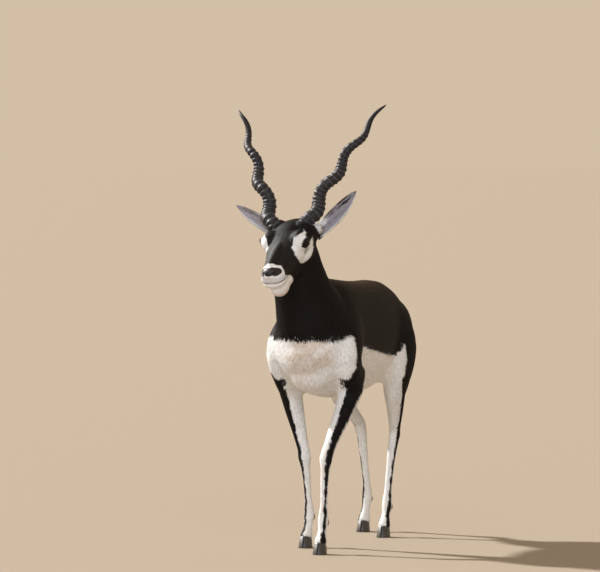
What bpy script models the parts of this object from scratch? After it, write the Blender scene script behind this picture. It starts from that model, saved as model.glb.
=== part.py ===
"""A male blackbuck, life size, standing in a slow walk with all four feet on the floor.

Metres, +Z up. The animal faces -Y and its left side is +X. The floor is z = 0.
The body is modelled whole from named masses, blended, and parted by thin cuts.
"""
import math

import bmesh
import bpy
import numpy as np
from mathutils import Matrix, Vector

# Gaps and thin cuts between touching pieces
GAP = 0.0003

# Where the point under the withers lies from the centre of the finished part's base
WITHERS = Vector((0.0038, -0.1365, 0.0))

# Driving sizes of the trunk
WITHERS_HEIGHT = 0.760
RUMP_HEIGHT = 0.743
CHEST_HALF_WIDTH = 0.118
BELLY_HALF_WIDTH = 0.124

# The head: midpoint of the eyes, turn to its right, pitch of the nose line, right side lowered
EYE_MIDPOINT = Vector((-0.018, -0.300, 0.862))
HEAD_TURN = math.radians(9.5)
HEAD_PITCH = math.radians(35.0)
HEAD_ROLL = math.radians(3.0)

# Eyes
EYE_RADIUS = 0.0170
EYE_OUT = 0.0540
EYE_BACK = 0.0070
LID_THICKNESS = 0.0032
LID_HALF_LENGTH = 0.0152
LID_HALF_HEIGHT = 0.0108

# Horns
HORN_LENGTHS = {1: 0.400, -1: 0.412}
HORN_BASE_RADIUS = 0.0198
HORN_TURNS = 3.35
HORN_FIRST_OUTWARD = 0.115
HORN_SPIRAL_RADIUS = 0.0105
HORN_ROOT_OUT = {1: 0.038, -1: 0.050}
HORN_LEAN = (0.172, 0.175, 0.320)
HORN_BOWS = {1: -0.012, -1: 0.003}
HORN_RINGS = 26
HORN_RINGED_SHARE = 0.80
HORN_RING_DEPTH = 0.0016
HORN_SIDES = 10

# Ears
EAR_LENGTH = 0.157
EAR_HALF_WIDTH = 0.0215
EAR_WALL = 0.0028
EAR_LEANS = {1: (0.695, 0.690, -0.13), -1: (0.860, 0.570, 0.03)}

# Feet
CLAW_HALF_GAP = 0.0009
CLAW_WIDTH = 0.0168
CLAW_LENGTH = 0.050
CORONET_FRONT = 0.037
CORONET_HEEL = 0.019
DEWCLAW_LENGTH = 0.017
DEWCLAW_RADIUS = 0.0062

# Mesh fineness
BODY_VOXEL = 0.0048
HEAD_VOXEL = 0.0024
BODY_TRIANGLES = 4600
HEAD_TRIANGLES = 2200

# Colours
BLACK_COAT = (0.016, 0.013, 0.012)
WHITE_COAT = (0.78, 0.76, 0.74)
EAR_GREY = (0.30, 0.28, 0.29)
HORN_GREY = (0.045, 0.040, 0.037)
EYE_BROWN = (0.012, 0.007, 0.004)
HOOF_BLACK = (0.020, 0.018, 0.016)


def clear_scene():
    for item in list(bpy.data.objects):
        bpy.data.objects.remove(item, do_unlink=True)


def material(name, colour, roughness):
    mat = bpy.data.materials.new(name)
    mat.use_nodes = True
    shader = mat.node_tree.nodes["Principled BSDF"]
    shader.inputs["Base Color"].default_value = (*colour, 1.0)
    shader.inputs["Roughness"].default_value = roughness
    shader.inputs["Metallic"].default_value = 0.0
    mat.diffuse_color = (*colour, 1.0)
    return mat


def object_from_bmesh(name, bm):
    bmesh.ops.recalc_face_normals(bm, faces=bm.faces)
    mesh = bpy.data.meshes.new(name)
    bm.to_mesh(mesh)
    bm.free()
    item = bpy.data.objects.new(name, mesh)
    bpy.context.scene.collection.objects.link(item)
    return item


def bake(item):
    """Apply every modifier of an object to its mesh."""
    graph = bpy.context.evaluated_depsgraph_get()
    mesh = bpy.data.meshes.new_from_object(item.evaluated_get(graph))
    item.modifiers.clear()
    item.data = mesh
    return item


def drop(items):
    for item in items:
        bpy.data.objects.remove(item, do_unlink=True)


def keep_largest(item):
    """Keep only the largest closed surface of a mesh."""
    bm = bmesh.new()
    bm.from_mesh(item.data)
    bmesh.ops.remove_doubles(bm, verts=bm.verts, dist=0.00001)
    unseen = set(bm.faces)
    groups = []
    while unseen:
        stack = [unseen.pop()]
        group = [stack[0]]
        while stack:
            face = stack.pop()
            for edge in face.edges:
                for other in edge.link_faces:
                    if other in unseen:
                        unseen.remove(other)
                        stack.append(other)
                        group.append(other)
        groups.append(group)
    groups.sort(key=lambda g: sum(f.calc_area() for f in g), reverse=True)
    scrap = [face for group in groups[1:] for face in group]
    bmesh.ops.delete(bm, geom=scrap, context="FACES")
    loose = [v for v in bm.verts if not v.link_faces]
    bmesh.ops.delete(bm, geom=loose, context="VERTS")
    bm.to_mesh(item.data)
    bm.free()
    return item


def boolean(item, others, operation):
    """One Boolean of a collection of closed meshes on an object, applied."""
    group = bpy.data.collections.new("operands")
    for other in others:
        group.objects.link(other)
    step = item.modifiers.new("boolean", "BOOLEAN")
    step.operation = operation
    step.operand_type = "COLLECTION"
    step.solver = "EXACT"
    step.collection = group
    bake(item)
    drop(others)
    bpy.data.collections.remove(group)
    return item


def grown_copy(item, distance):
    """A copy of a closed mesh pushed out along its normals."""
    copy = item.copy()
    copy.data = item.data.copy()
    bpy.context.scene.collection.objects.link(copy)
    step = copy.modifiers.new("grow", "DISPLACE")
    step.strength = distance
    step.mid_level = 0.0
    return bake(copy)


def smooth_rows(rows, steps):
    """Rows of numbers along a path, with Catmull-Rom values between them."""
    rows = np.array(rows, float)
    padded = np.vstack([2 * rows[0] - rows[1], rows, 2 * rows[-1] - rows[-2]])
    out = []
    for i in range(len(rows) - 1):
        a, b, c, d = padded[i : i + 4]
        for k in range(steps):
            t = k / steps
            out.append(
                0.5
                * (
                    2 * b
                    + (c - a) * t
                    + (2 * a - 5 * b + 4 * c - d) * t * t
                    + (3 * b - a - 3 * c + d) * t**3
                )
            )
    out.append(rows[-1])
    return np.array(out)


def loft(name, rows, front, steps=3, sides=20, power=2.0):
    """A closed tube through rows of x, y, z, half-width, reach in front, reach behind.

    front is the direction that "in front" means; power above 2 squares the section.
    """
    path = smooth_rows(rows, steps)
    bm = bmesh.new()
    rings = []
    front = Vector(front)
    for i, row in enumerate(path):
        before = Vector(path[max(i - 1, 0)][:3])
        after = Vector(path[min(i + 1, len(path) - 1)][:3])
        along = (after - before).normalized()
        fore = (front - front.dot(along) * along).normalized()
        side = along.cross(fore)
        centre = Vector(row[:3])
        width, ahead, behind = np.maximum(row[3:6], 0.0004)
        ring = []
        for k in range(sides):
            angle = 2 * math.pi * k / sides
            c = math.copysign(abs(math.cos(angle)) ** (2 / power), math.cos(angle))
            s = math.copysign(abs(math.sin(angle)) ** (2 / power), math.sin(angle))
            reach = ahead if s > 0 else behind
            ring.append(bm.verts.new(centre + side * width * c + fore * reach * s))
        rings.append(ring)
    for lower, upper in zip(rings, rings[1:]):
        for k in range(sides):
            n = (k + 1) % sides
            bm.faces.new((lower[k], lower[n], upper[n], upper[k]))
    bm.faces.new(reversed(rings[0]))
    bm.faces.new(rings[-1])
    return object_from_bmesh(name, bm)


def ball(name, centre, radii, turn=None, segments=20):
    """An ellipsoid; turn is the rotation of its own axes."""
    bm = bmesh.new()
    bmesh.ops.create_uvsphere(bm, u_segments=segments, v_segments=segments // 2, radius=1.0)
    matrix = Matrix.Translation(centre)
    if turn is not None:
        matrix = matrix @ turn.to_4x4()
    matrix = matrix @ Matrix.Diagonal((*radii, 1.0))
    bmesh.ops.transform(bm, matrix=matrix, verts=bm.verts)
    return object_from_bmesh(name, bm)


def frame_of(x_axis, z_axis):
    """A rotation whose x and z axes are near the given directions."""
    z = Vector(z_axis).normalized()
    x = Vector(x_axis)
    x = (x - x.dot(z) * z).normalized()
    y = z.cross(x)
    return Matrix((x, y, z)).transposed()


def slab(centre, normal, along, half_along, half_across):
    """A thin plate that parts the body."""
    turn = frame_of(along, normal)
    bm = bmesh.new()
    bmesh.ops.create_cube(bm, size=2.0)
    size = Matrix.Diagonal((half_along, half_across, GAP / 2, 1.0))
    place = Matrix.Translation(centre) @ turn.to_4x4() @ size
    bmesh.ops.transform(bm, matrix=place, verts=bm.verts)
    return object_from_bmesh("slab", bm)


def keep_side(item, point, normal):
    """Cut an object with a plane and keep the side that the normal points to."""
    bm = bmesh.new()
    bm.from_mesh(item.data)
    bmesh.ops.bisect_plane(
        bm,
        geom=bm.verts[:] + bm.edges[:] + bm.faces[:],
        plane_co=point,
        plane_no=normal,
        clear_inner=True,
        dist=0.00001,
    )
    rim = [e for e in bm.edges if len(e.link_faces) == 1]
    bmesh.ops.holes_fill(bm, edges=rim, sides=0)
    bmesh.ops.triangulate(bm, faces=bm.faces)
    bm.to_mesh(item.data)
    bm.free()
    return item


# The head's own frame: forward along the face, to the animal's left, and up
HEADING = Vector((-math.sin(HEAD_TURN), -math.cos(HEAD_TURN), 0.0))
ROLL = Matrix.Rotation(HEAD_ROLL, 3, HEADING)
HEAD_SIDE = ROLL @ Vector((math.cos(HEAD_TURN), -math.sin(HEAD_TURN), 0.0))
CROWN = ROLL @ Vector((0, 0, 1))
HEAD_FORWARD = HEADING * math.cos(HEAD_PITCH) - CROWN * math.sin(HEAD_PITCH)
HEAD_UP = HEADING * math.sin(HEAD_PITCH) + CROWN * math.cos(HEAD_PITCH)


def head_point(forward, side, up):
    return EYE_MIDPOINT + HEAD_FORWARD * forward + HEAD_SIDE * side + HEAD_UP * up


def head_rows(rows):
    """Rows of forward, side, up, half-width, above, below in the head's frame."""
    return [(*head_point(*row[:3]), *row[3:]) for row in rows]


# Where the head leaves the neck
POLL_CUT = Vector((-0.012, -0.229, 0.869))
POLL_NORMAL = Vector((-0.13, -0.90, 0.41)).normalized()


def neck_mass(name):
    """The thick neck of a grown male, from inside the chest into the skull."""
    rows = [
        (0.000, 0.010, 0.560, 0.085, 0.140, 0.130),
        (0.000, -0.050, 0.610, 0.100, 0.148, 0.125),
        (-0.003, -0.105, 0.662, 0.097, 0.117, 0.110),
        (-0.009, -0.150, 0.722, 0.083, 0.088, 0.088),
        (-0.014, -0.186, 0.787, 0.073, 0.078, 0.072),
        (-0.017, -0.210, 0.842, 0.067, 0.068, 0.060),
        (-0.016, -0.226, 0.876, 0.054, 0.050, 0.046),
        (-0.014, -0.240, 0.895, 0.036, 0.028, 0.024),
    ]
    return loft(name, rows, (0, -1, 0.0), steps=3, sides=24)


def trunk_masses():
    """Chest, barrel, loin and rump, with the forms that stand out of them."""
    up = (0, 0, 1)
    top, rump = WITHERS_HEIGHT, RUMP_HEIGHT
    chest, barrel = CHEST_HALF_WIDTH, BELLY_HALF_WIDTH
    stations = [
        # along, centre height, half-width, top, bottom
        (-0.188, 0.572, 0.026, 0.605, 0.538),
        (-0.172, 0.567, 0.064, 0.650, 0.496),
        (-0.138, 0.570, 0.098, 0.702, 0.456),
        (-0.080, 0.580, 0.113, 0.742, 0.434),
        (0.000, 0.585, chest, top, 0.424),
        (0.100, 0.580, 0.121, 0.754, 0.416),
        (0.200, 0.578, barrel, 0.748, 0.414),
        (0.300, 0.582, barrel, 0.744, 0.424),
        (0.380, 0.588, 0.117, rump, 0.444),
        (0.450, 0.592, 0.109, 0.742, 0.468),
        (0.520, 0.594, 0.100, 0.730, 0.488),
        (0.580, 0.594, 0.086, 0.706, 0.503),
        (0.625, 0.600, 0.058, 0.670, 0.535),
    ]
    rows = [(0.0, y, z, w, t - z, z - b) for y, z, w, t, b in stations]
    masses = [loft("barrel", rows, up, steps=3, sides=28, power=2.05)]
    masses.append(ball("withers", (0, 0.015, 0.700), (0.052, 0.135, 0.058)))
    masses.append(ball("croup", (0, 0.470, 0.682), (0.062, 0.120, 0.058)))
    masses.append(ball("brisket", (0, -0.116, 0.498), (0.056, 0.062, 0.056)))
    for side in (1, -1):
        blade = [
            (side * 0.030, 0.050, 0.725, 0.014, 0.020, 0.020),
            (side * 0.070, 0.018, 0.680, 0.026, 0.052, 0.050),
            (side * 0.097, -0.045, 0.600, 0.034, 0.066, 0.064),
            (side * 0.101, -0.080, 0.545, 0.034, 0.058, 0.060),
            (side * 0.096, -0.045, 0.490, 0.034, 0.050, 0.058),
            (side * 0.094, -0.010, 0.455, 0.030, 0.044, 0.048),
        ]
        masses.append(loft("shoulder", blade, (0, -1, 0)))
        shift = 0.0 if side > 0 else 0.025
        thigh = [
            (side * 0.040, 0.475 + shift, 0.690, 0.020, 0.030, 0.030),
            (side * 0.073, 0.465 + shift, 0.630, 0.042, 0.080, 0.076),
            (side * 0.096, 0.445 + shift, 0.560, 0.045, 0.096, 0.105),
            (side * 0.098, 0.420 + shift, 0.490, 0.040, 0.076, 0.105),
            (side * 0.092, 0.405 + shift, 0.440, 0.034, 0.045, 0.075),
        ]
        masses.append(loft("thigh", thigh, (0, -1, 0)))
        ham = [
            (side * 0.030, 0.555, 0.685, 0.018, 0.030, 0.024),
            (side * 0.050, 0.575 + 0.3 * shift, 0.635, 0.040, 0.062, 0.050),
            (side * 0.064, 0.565 + 0.7 * shift, 0.560, 0.044, 0.080, 0.060),
            (side * 0.076, 0.525 + shift, 0.490, 0.038, 0.075, 0.056),
            (side * 0.083, 0.480 + shift, 0.425, 0.028, 0.045, 0.040),
            (side * 0.077, 0.476 + shift, 0.368, 0.014, 0.018, 0.020),
        ]
        masses.append(loft("ham", ham, (0, -1, 0)))
        fold = [
            (side * 0.078, 0.270, 0.500, 0.010, 0.014, 0.014),
            (side * 0.084, 0.325 + shift, 0.486, 0.020, 0.032, 0.032),
            (side * 0.088, 0.385 + shift, 0.455, 0.022, 0.032, 0.030),
        ]
        masses.append(loft("flank_fold", fold, (0, 0, 1)))
    return masses


# Half-width, reach in front and reach behind of each level of a foreleg and a hind leg
FORELEG_SECTIONS = [
    (0.036, 0.050, 0.052),
    (0.034, 0.044, 0.046),
    (0.0285, 0.034, 0.035),
    (0.0215, 0.0255, 0.0255),
    (0.0180, 0.0205, 0.0200),
    (0.0195, 0.0230, 0.0190),
    (0.0150, 0.0170, 0.0175),
    (0.0120, 0.0130, 0.0150),
    (0.0112, 0.0122, 0.0140),
    (0.0140, 0.0142, 0.0175),
    (0.0158, 0.0155, 0.0205),
    (0.0125, 0.0125, 0.0140),
    (0.0150, 0.0155, 0.0165),
    (0.0182, 0.0215, 0.0240),
    (0.0182, 0.0215, 0.0240),
]
HINDLEG_SECTIONS = [
    (0.034, 0.062, 0.080),
    (0.034, 0.054, 0.066),
    (0.0270, 0.036, 0.044),
    (0.0195, 0.0240, 0.0280),
    (0.0165, 0.0195, 0.0260),
    (0.0172, 0.0200, 0.0330),
    (0.0150, 0.0175, 0.0270),
    (0.0122, 0.0140, 0.0160),
    (0.0114, 0.0128, 0.0145),
    (0.0142, 0.0145, 0.0185),
    (0.0158, 0.0155, 0.0210),
    (0.0125, 0.0125, 0.0140),
    (0.0150, 0.0155, 0.0165),
    (0.0182, 0.0215, 0.0240),
    (0.0182, 0.0215, 0.0240),
]

# The centre line of each leg, from inside the body to the floor, and its foot's centre
FETLOCK_LEVEL = 10
LEG_LINES = {
    "front_left": [
        (0.097, -0.020, 0.510),
        (0.092, -0.012, 0.455),
        (0.080, -0.055, 0.392),
        (0.068, -0.098, 0.335),
        (0.059, -0.130, 0.288),
        (0.055, -0.142, 0.264),
        (0.054, -0.146, 0.238),
        (0.052, -0.149, 0.200),
        (0.051, -0.151, 0.140),
        (0.050, -0.153, 0.110),
        (0.050, -0.156, 0.090),
        (0.050, -0.164, 0.064),
        (0.050, -0.172, 0.046),
        (0.050, -0.180, 0.030),
        (0.050, -0.184, 0.008),
    ],
    "front_right": [
        (-0.097, -0.025, 0.510),
        (-0.093, -0.005, 0.452),
        (-0.082, 0.006, 0.388),
        (-0.071, 0.016, 0.328),
        (-0.062, 0.024, 0.280),
        (-0.059, 0.027, 0.256),
        (-0.058, 0.032, 0.230),
        (-0.056, 0.037, 0.194),
        (-0.054, 0.045, 0.136),
        (-0.053, 0.049, 0.108),
        (-0.053, 0.050, 0.089),
        (-0.053, 0.041, 0.063),
        (-0.053, 0.032, 0.046),
        (-0.053, 0.023, 0.030),
        (-0.053, 0.018, 0.008),
    ],
    "hind_left": [
        (0.095, 0.405, 0.510),
        (0.092, 0.415, 0.445),
        (0.084, 0.450, 0.385),
        (0.074, 0.484, 0.335),
        (0.068, 0.502, 0.308),
        (0.065, 0.508, 0.290),
        (0.062, 0.502, 0.262),
        (0.059, 0.488, 0.205),
        (0.057, 0.474, 0.140),
        (0.056, 0.467, 0.108),
        (0.056, 0.463, 0.089),
        (0.056, 0.452, 0.063),
        (0.056, 0.443, 0.046),
        (0.056, 0.434, 0.030),
        (0.056, 0.430, 0.008),
    ],
    "hind_right": [
        (-0.095, 0.435, 0.505),
        (-0.092, 0.450, 0.438),
        (-0.085, 0.505, 0.386),
        (-0.075, 0.560, 0.346),
        (-0.069, 0.592, 0.324),
        (-0.066, 0.605, 0.306),
        (-0.063, 0.613, 0.276),
        (-0.060, 0.624, 0.214),
        (-0.057, 0.637, 0.150),
        (-0.056, 0.643, 0.117),
        (-0.056, 0.642, 0.097),
        (-0.056, 0.629, 0.068),
        (-0.056, 0.619, 0.049),
        (-0.056, 0.609, 0.031),
        (-0.056, 0.605, 0.008),
    ],
}


def leg_mass(name):
    sections = FORELEG_SECTIONS if name.startswith("front") else HINDLEG_SECTIONS
    rows = [(*p, *s) for p, s in zip(LEG_LINES[name], sections)]
    return loft("leg", rows, (0, -1, 0), steps=3, sides=16)


def tail_mass():
    rows = [
        (0, 0.590, 0.690, 0.020, 0.016, 0.016),
        (0, 0.632, 0.684, 0.021, 0.015, 0.015),
        (0, 0.660, 0.655, 0.021, 0.012, 0.013),
        (0, 0.671, 0.612, 0.019, 0.010, 0.012),
        (0, 0.672, 0.570, 0.014, 0.009, 0.010),
        (0, 0.670, 0.540, 0.006, 0.005, 0.006),
    ]
    return loft("tail_mass", rows, (0, -1, -0.2), steps=3, sides=14)


def remesh(item, voxel):
    step = item.modifiers.new("blend", "REMESH")
    step.mode = "VOXEL"
    step.voxel_size = voxel
    return bake(item)


def relax(item, strength, rounds):
    """Smooth the mesh, by the weight that strength gives for each point."""
    group = item.vertex_groups.new(name="relax")
    for vertex in item.data.vertices:
        group.add([vertex.index], strength(vertex.co), "REPLACE")
    step = item.modifiers.new("relax", "SMOOTH")
    step.factor = 0.5
    step.iterations = rounds
    step.vertex_group = group.name
    bake(item)
    item.vertex_groups.clear()
    return item


def thin_out(item, triangles):
    item.data.calc_loop_triangles()
    step = item.modifiers.new("thin", "DECIMATE")
    step.ratio = triangles / len(item.data.loop_triangles)
    step.use_collapse_triangulate = True
    return bake(item)


def body_relax(point):
    """Full on trunk and neck, little on the slim legs and tail."""
    if point.z < 0.36:
        return 0.12
    if point.z < 0.46:
        return 0.12 + 0.88 * (point.z - 0.36) / 0.10
    if point.y > 0.64:
        return 0.25
    return 1.0


def coronet_plane(name):
    """The slanted plane where the skin of a foot ends and the claws begin."""
    foot = LEG_LINES[name][-1]
    rise = (CORONET_FRONT - CORONET_HEEL) / CLAW_LENGTH
    normal = Vector((0, rise, 1)).normalized()
    middle = Vector((foot[0], foot[1], (CORONET_FRONT + CORONET_HEEL) / 2))
    return middle, normal


def body_whole():
    """Trunk, neck, legs and tail as one blended surface."""
    masses = trunk_masses() + [tail_mass()] + [leg_mass(n) for n in LEG_LINES]
    masses += head_masses() + [skull_mass("skull")]
    body = neck_mass("body")
    boolean(body, masses, "UNION")
    remesh(body, BODY_VOXEL)
    relax(body, body_relax, 34)
    keep_largest(body)
    thin_out(body, BODY_TRIANGLES)
    feet = []
    for name in LEG_LINES:
        middle, normal = coronet_plane(name)
        turn = frame_of((1, 0, 0), normal)
        bm = bmesh.new()
        bmesh.ops.create_cube(bm, size=1.0)
        size = Matrix.Diagonal((0.07, 0.10, 0.06, 1.0))
        place = Matrix.Translation(middle) @ turn.to_4x4() @ Matrix.Translation((0, 0, -0.03))
        bmesh.ops.transform(bm, matrix=place @ size, verts=bm.verts)
        feet.append(object_from_bmesh("foot_space", bm))
    boolean(body, feet, "DIFFERENCE")
    return keep_side(body, POLL_CUT, -POLL_NORMAL)


def body_cuts():
    """The thin cuts: neck from trunk, tail from rump, and the four legs."""
    cuts = [
        slab((0, -0.075, 0.655), (0, -0.62, 0.78), (1, 0, 0), 0.20, 0.30),
        slab((0, 0.645, 0.690), (0, 0.80, -0.42), (1, 0, 0), 0.05, 0.06),
    ]
    for side in (1, -1):
        fore = Vector((side * 0.092, -0.020, 0.452))
        cuts.append(slab(fore, (side * -0.58, 0, 1), (1, 0, 0), 0.078, 0.105))
        back = 0.0 if side > 0 else 0.02
        hind = Vector((side * 0.082, 0.490 + back, 0.474))
        cuts.append(slab(hind, (side * -0.24, -0.24, 1), (1, 0, 0), 0.081, 0.22))
    return cuts


def islands(item):
    """Split an object into its closed surfaces, as new objects."""
    bm = bmesh.new()
    bm.from_mesh(item.data)
    bmesh.ops.remove_doubles(bm, verts=bm.verts, dist=0.000005)
    unseen = set(bm.faces)
    found = []
    while unseen:
        stack = [unseen.pop()]
        group = [stack[0]]
        while stack:
            face = stack.pop()
            for edge in face.edges:
                for other in edge.link_faces:
                    if other in unseen:
                        unseen.remove(other)
                        stack.append(other)
                        group.append(other)
        found.append(group)
    pieces = []
    for group in found:
        piece = bmesh.new()
        made = {}
        for face in group:
            for vert in face.verts:
                if vert not in made:
                    made[vert] = piece.verts.new(vert.co)
            piece.faces.new([made[vert] for vert in face.verts])
        pieces.append(object_from_bmesh("piece", piece))
    drop([item])
    return pieces


# A point well inside each node of the parted body
BODY_NODES = {
    "torso": (0, 0.25, 0.60),
    "neck": (-0.01, -0.15, 0.74),
    "tail": (0, 0.675, 0.610),
    "leg_front_left": (0.060, -0.125, 0.26),
    "leg_front_right": (-0.062, 0.024, 0.26),
    "leg_hind_left": (0.070, 0.490, 0.30),
    "leg_hind_right": (-0.068, 0.590, 0.30),
}


def part_body(body):
    """Part the whole body and name its pieces; the largest piece near a point has its name."""
    boolean(body, body_cuts(), "DIFFERENCE")
    nodes = {}
    pieces = islands(body)
    for piece in pieces:
        corners = [Vector(c) for c in piece.bound_box]
        low = Vector([min(c[i] for c in corners) for i in range(3)])
        high = Vector([max(c[i] for c in corners) for i in range(3)])
        middle = (low + high) / 2
        best = min(BODY_NODES, key=lambda n: (Vector(BODY_NODES[n]) - middle).length)
        size = len(piece.data.polygons)
        if best not in nodes or size > len(nodes[best].data.polygons):
            nodes[best] = piece
    drop([p for p in pieces if p not in nodes.values()])
    for name, piece in nodes.items():
        piece.name = name
    return nodes


def surface_point(item, start, towards):
    """Where a ray from a point inside meets the surface."""
    hit, place, _, _ = item.ray_cast(Vector(start), Vector(towards).normalized())
    return place if hit else None


def mouth_line(shell, drop_by, out_by):
    """Points along the mouth on the muzzle's surface, from corner to corner."""
    points = []
    count = 17
    for i in range(count):
        swing = math.radians(-78 + 156 * i / (count - 1))
        up = -0.034 - drop_by - 0.010 * (1 - math.cos(swing))
        start = head_point(0.088, 0, up)
        aim = HEAD_FORWARD * math.cos(swing) + HEAD_SIDE * math.sin(swing)
        place = surface_point(shell, start, aim)
        if place is not None:
            points.append(place + aim.normalized() * out_by)
    return points


def tube(name, points, radius, sides=8):
    rows = []
    for i, p in enumerate(points):
        share = i / (len(points) - 1)
        size = radius * (0.45 + 0.55 * math.sin(math.pi * share) ** 0.5)
        rows.append((*p, size, size, size))
    return loft(name, rows, HEAD_UP, steps=1, sides=sides)


def skull_mass(name):
    rows = [
        (-0.134, 0, -0.045, 0.028, 0.024, 0.030),
        (-0.114, 0, -0.038, 0.047, 0.034, 0.044),
        (-0.088, 0, -0.027, 0.061, 0.040, 0.056),
        (-0.060, 0, -0.019, 0.063, 0.041, 0.067),
        (-0.030, 0, -0.015, 0.061, 0.043, 0.071),
        (0.000, 0, -0.015, 0.056, 0.041, 0.067),
        (0.030, 0, -0.018, 0.048, 0.037, 0.056),
        (0.060, 0, -0.022, 0.040, 0.034, 0.047),
        (0.090, 0, -0.026, 0.0355, 0.033, 0.043),
        (0.112, 0, -0.028, 0.0340, 0.032, 0.040),
        (0.126, 0, -0.028, 0.0300, 0.029, 0.034),
        (0.136, 0, -0.027, 0.0210, 0.020, 0.022),
    ]
    return loft(name, head_rows(rows), HEAD_UP, steps=3, sides=28, power=2.1)


def head_masses():
    """What stands out of the skull: brows, cheeks, jaw, chin, nose and horn roots."""
    turn = Matrix((HEAD_FORWARD, HEAD_SIDE, HEAD_UP)).transposed()
    masses = [
        ball("nose", head_point(0.120, 0, -0.011), (0.019, 0.025, 0.018), turn),
        ball("chin", head_point(0.097, 0, -0.067), (0.036, 0.028, 0.033), turn),
        ball("nasal_ridge", head_point(0.045, 0, -0.006), (0.085, 0.022, 0.030), turn),
        ball("forehead", head_point(-0.042, 0, -0.006), (0.055, 0.048, 0.038), turn),
    ]
    jaw = [
        (0.110, 0, -0.056, 0.021, 0.016, 0.026),
        (0.080, 0, -0.060, 0.027, 0.024, 0.036),
        (0.045, 0, -0.063, 0.030, 0.026, 0.034),
        (0.010, 0, -0.066, 0.035, 0.028, 0.031),
        (-0.030, 0, -0.062, 0.041, 0.028, 0.033),
        (-0.060, 0, -0.058, 0.037, 0.024, 0.028),
    ]
    masses.append(loft("jaw", head_rows(jaw), HEAD_UP))
    for side in (1, -1):
        masses.append(
            ball("orbit", head_point(-0.010, side * 0.042, 0.002), (0.036, 0.0265, 0.028), turn)
        )
        masses.append(
            ball("brow", head_point(-0.010, side * 0.049, 0.014), (0.023, 0.016, 0.012), turn)
        )
        masses.append(
            ball("cheek", head_point(-0.040, side * 0.036, -0.046), (0.046, 0.024, 0.036), turn)
        )
        masses.append(
            ball("arch", head_point(-0.052, side * 0.046, -0.010), (0.044, 0.018, 0.022), turn)
        )
        masses.append(
            ball("flews", head_point(0.104, side * 0.017, -0.026), (0.026, 0.017, 0.022), turn)
        )
        masses.append(
            ball("pedicle", head_point(-0.064, side * 0.037, 0.008), (0.026, 0.024, 0.023), turn)
        )
        masses.append(
            ball("ear_root", head_point(-0.096, side * 0.056, -0.026), (0.022, 0.020, 0.024), turn)
        )
    return masses


def eye_centre(side):
    return head_point(-EYE_BACK, side * EYE_OUT, 0.0)


def eye_outward(side):
    """The way an eye looks: out, and somewhat forward."""
    return (HEAD_SIDE * side + HEAD_FORWARD * 0.48 + HEAD_UP * 0.02).normalized()


def lid_opening(side):
    """An almond-shaped cutter, from the eye's middle outwards."""
    out = eye_outward(side)
    along = (HEAD_FORWARD * 0.99 - HEAD_UP * 0.06).normalized()
    turn = frame_of(along, out)
    bm = bmesh.new()
    count = 10
    outline = []
    for sign in (1, -1):
        for i in range(count):
            x = -sign * math.cos(math.pi * i / count)
            y = sign * math.sin(math.pi * i / count) ** 1.25
            outline.append((x * LID_HALF_LENGTH, y * LID_HALF_HEIGHT))
    near = [bm.verts.new((x * 0.9, y * 0.9, 0.004)) for x, y in outline]
    far = [bm.verts.new((x * 1.15, y * 1.25, 0.040)) for x, y in outline]
    for k in range(len(outline)):
        n = (k + 1) % len(outline)
        bm.faces.new((near[k], near[n], far[n], far[k]))
    bm.faces.new(reversed(near))
    bm.faces.new(far)
    place = Matrix.Translation(eye_centre(side)) @ turn.to_4x4()
    bmesh.ops.transform(bm, matrix=place, verts=bm.verts)
    return object_from_bmesh("lid_opening", bm)


def nostril(side):
    """A comma-shaped hole in the nose pad, widest inwards and curling up and out."""
    points = [(0.142, 0.006, -0.013), (0.138, 0.0105, -0.009), (0.131, 0.0160, -0.006)]
    points += [(0.123, 0.0205, -0.0065), (0.115, 0.0235, -0.010)]
    radii = [0.0028, 0.0042, 0.0040, 0.0030, 0.0016]
    rows = []
    for (forward, out, up), r in zip(points, radii):
        rows.append((*head_point(forward, side * out, up), r, r * 0.8, r * 0.8))
    return loft("nostril", rows, HEAD_UP, steps=2, sides=8)


def head_whole():
    """The head with lids, lips, the line of the mouth and nostrils, ears and horns apart."""
    head = skull_mass("head")
    lips = []
    for drop_by in (-0.006, 0.0065):
        lips.append(tube("lip", mouth_line(head, drop_by, -0.0028), 0.0060))
    lid_balls = [
        ball("lids", eye_centre(side), (EYE_RADIUS + LID_THICKNESS,) * 3, segments=24)
        for side in (1, -1)
    ]
    boolean(head, head_masses() + lips + lid_balls + [neck_mass("stub")], "UNION")
    remesh(head, HEAD_VOXEL)
    relax(head, lambda point: 1.0, 4)
    keep_largest(head)
    keep_side(head, POLL_CUT - POLL_NORMAL * 0.012, POLL_NORMAL)
    thin_out(head, HEAD_TRIANGLES)
    keep_side(head, POLL_CUT + POLL_NORMAL * GAP, POLL_NORMAL)
    line = tube("mouth", mouth_line(head, 0.0, 0.0004), 0.0017, sides=6)
    cutters = [line]
    for side in (1, -1):
        socket = ball("socket", eye_centre(side), (EYE_RADIUS + GAP,) * 3, segments=24)
        cutters += [nostril(side), lid_opening(side), socket]
    boolean(head, cutters, "DIFFERENCE")
    return keep_largest(head)


def eye(side):
    name = "eye_left" if side > 0 else "eye_right"
    turn = frame_of(HEAD_UP, eye_outward(side))
    return ball(name, eye_centre(side), (EYE_RADIUS,) * 3, turn, segments=16)


def horn_radius(share):
    return HORN_BASE_RADIUS * (1.0 - share) ** 0.52 + 0.0006


def horn_axis(side):
    """Root and direction of a horn: up, outwards and back."""
    root = head_point(-0.062, side * HORN_ROOT_OUT[side], 0.006)
    outward, back, up = HORN_LEAN
    lean = HEAD_SIDE * side * outward - HEADING * back + CROWN * up
    return root, lean.normalized()


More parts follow.
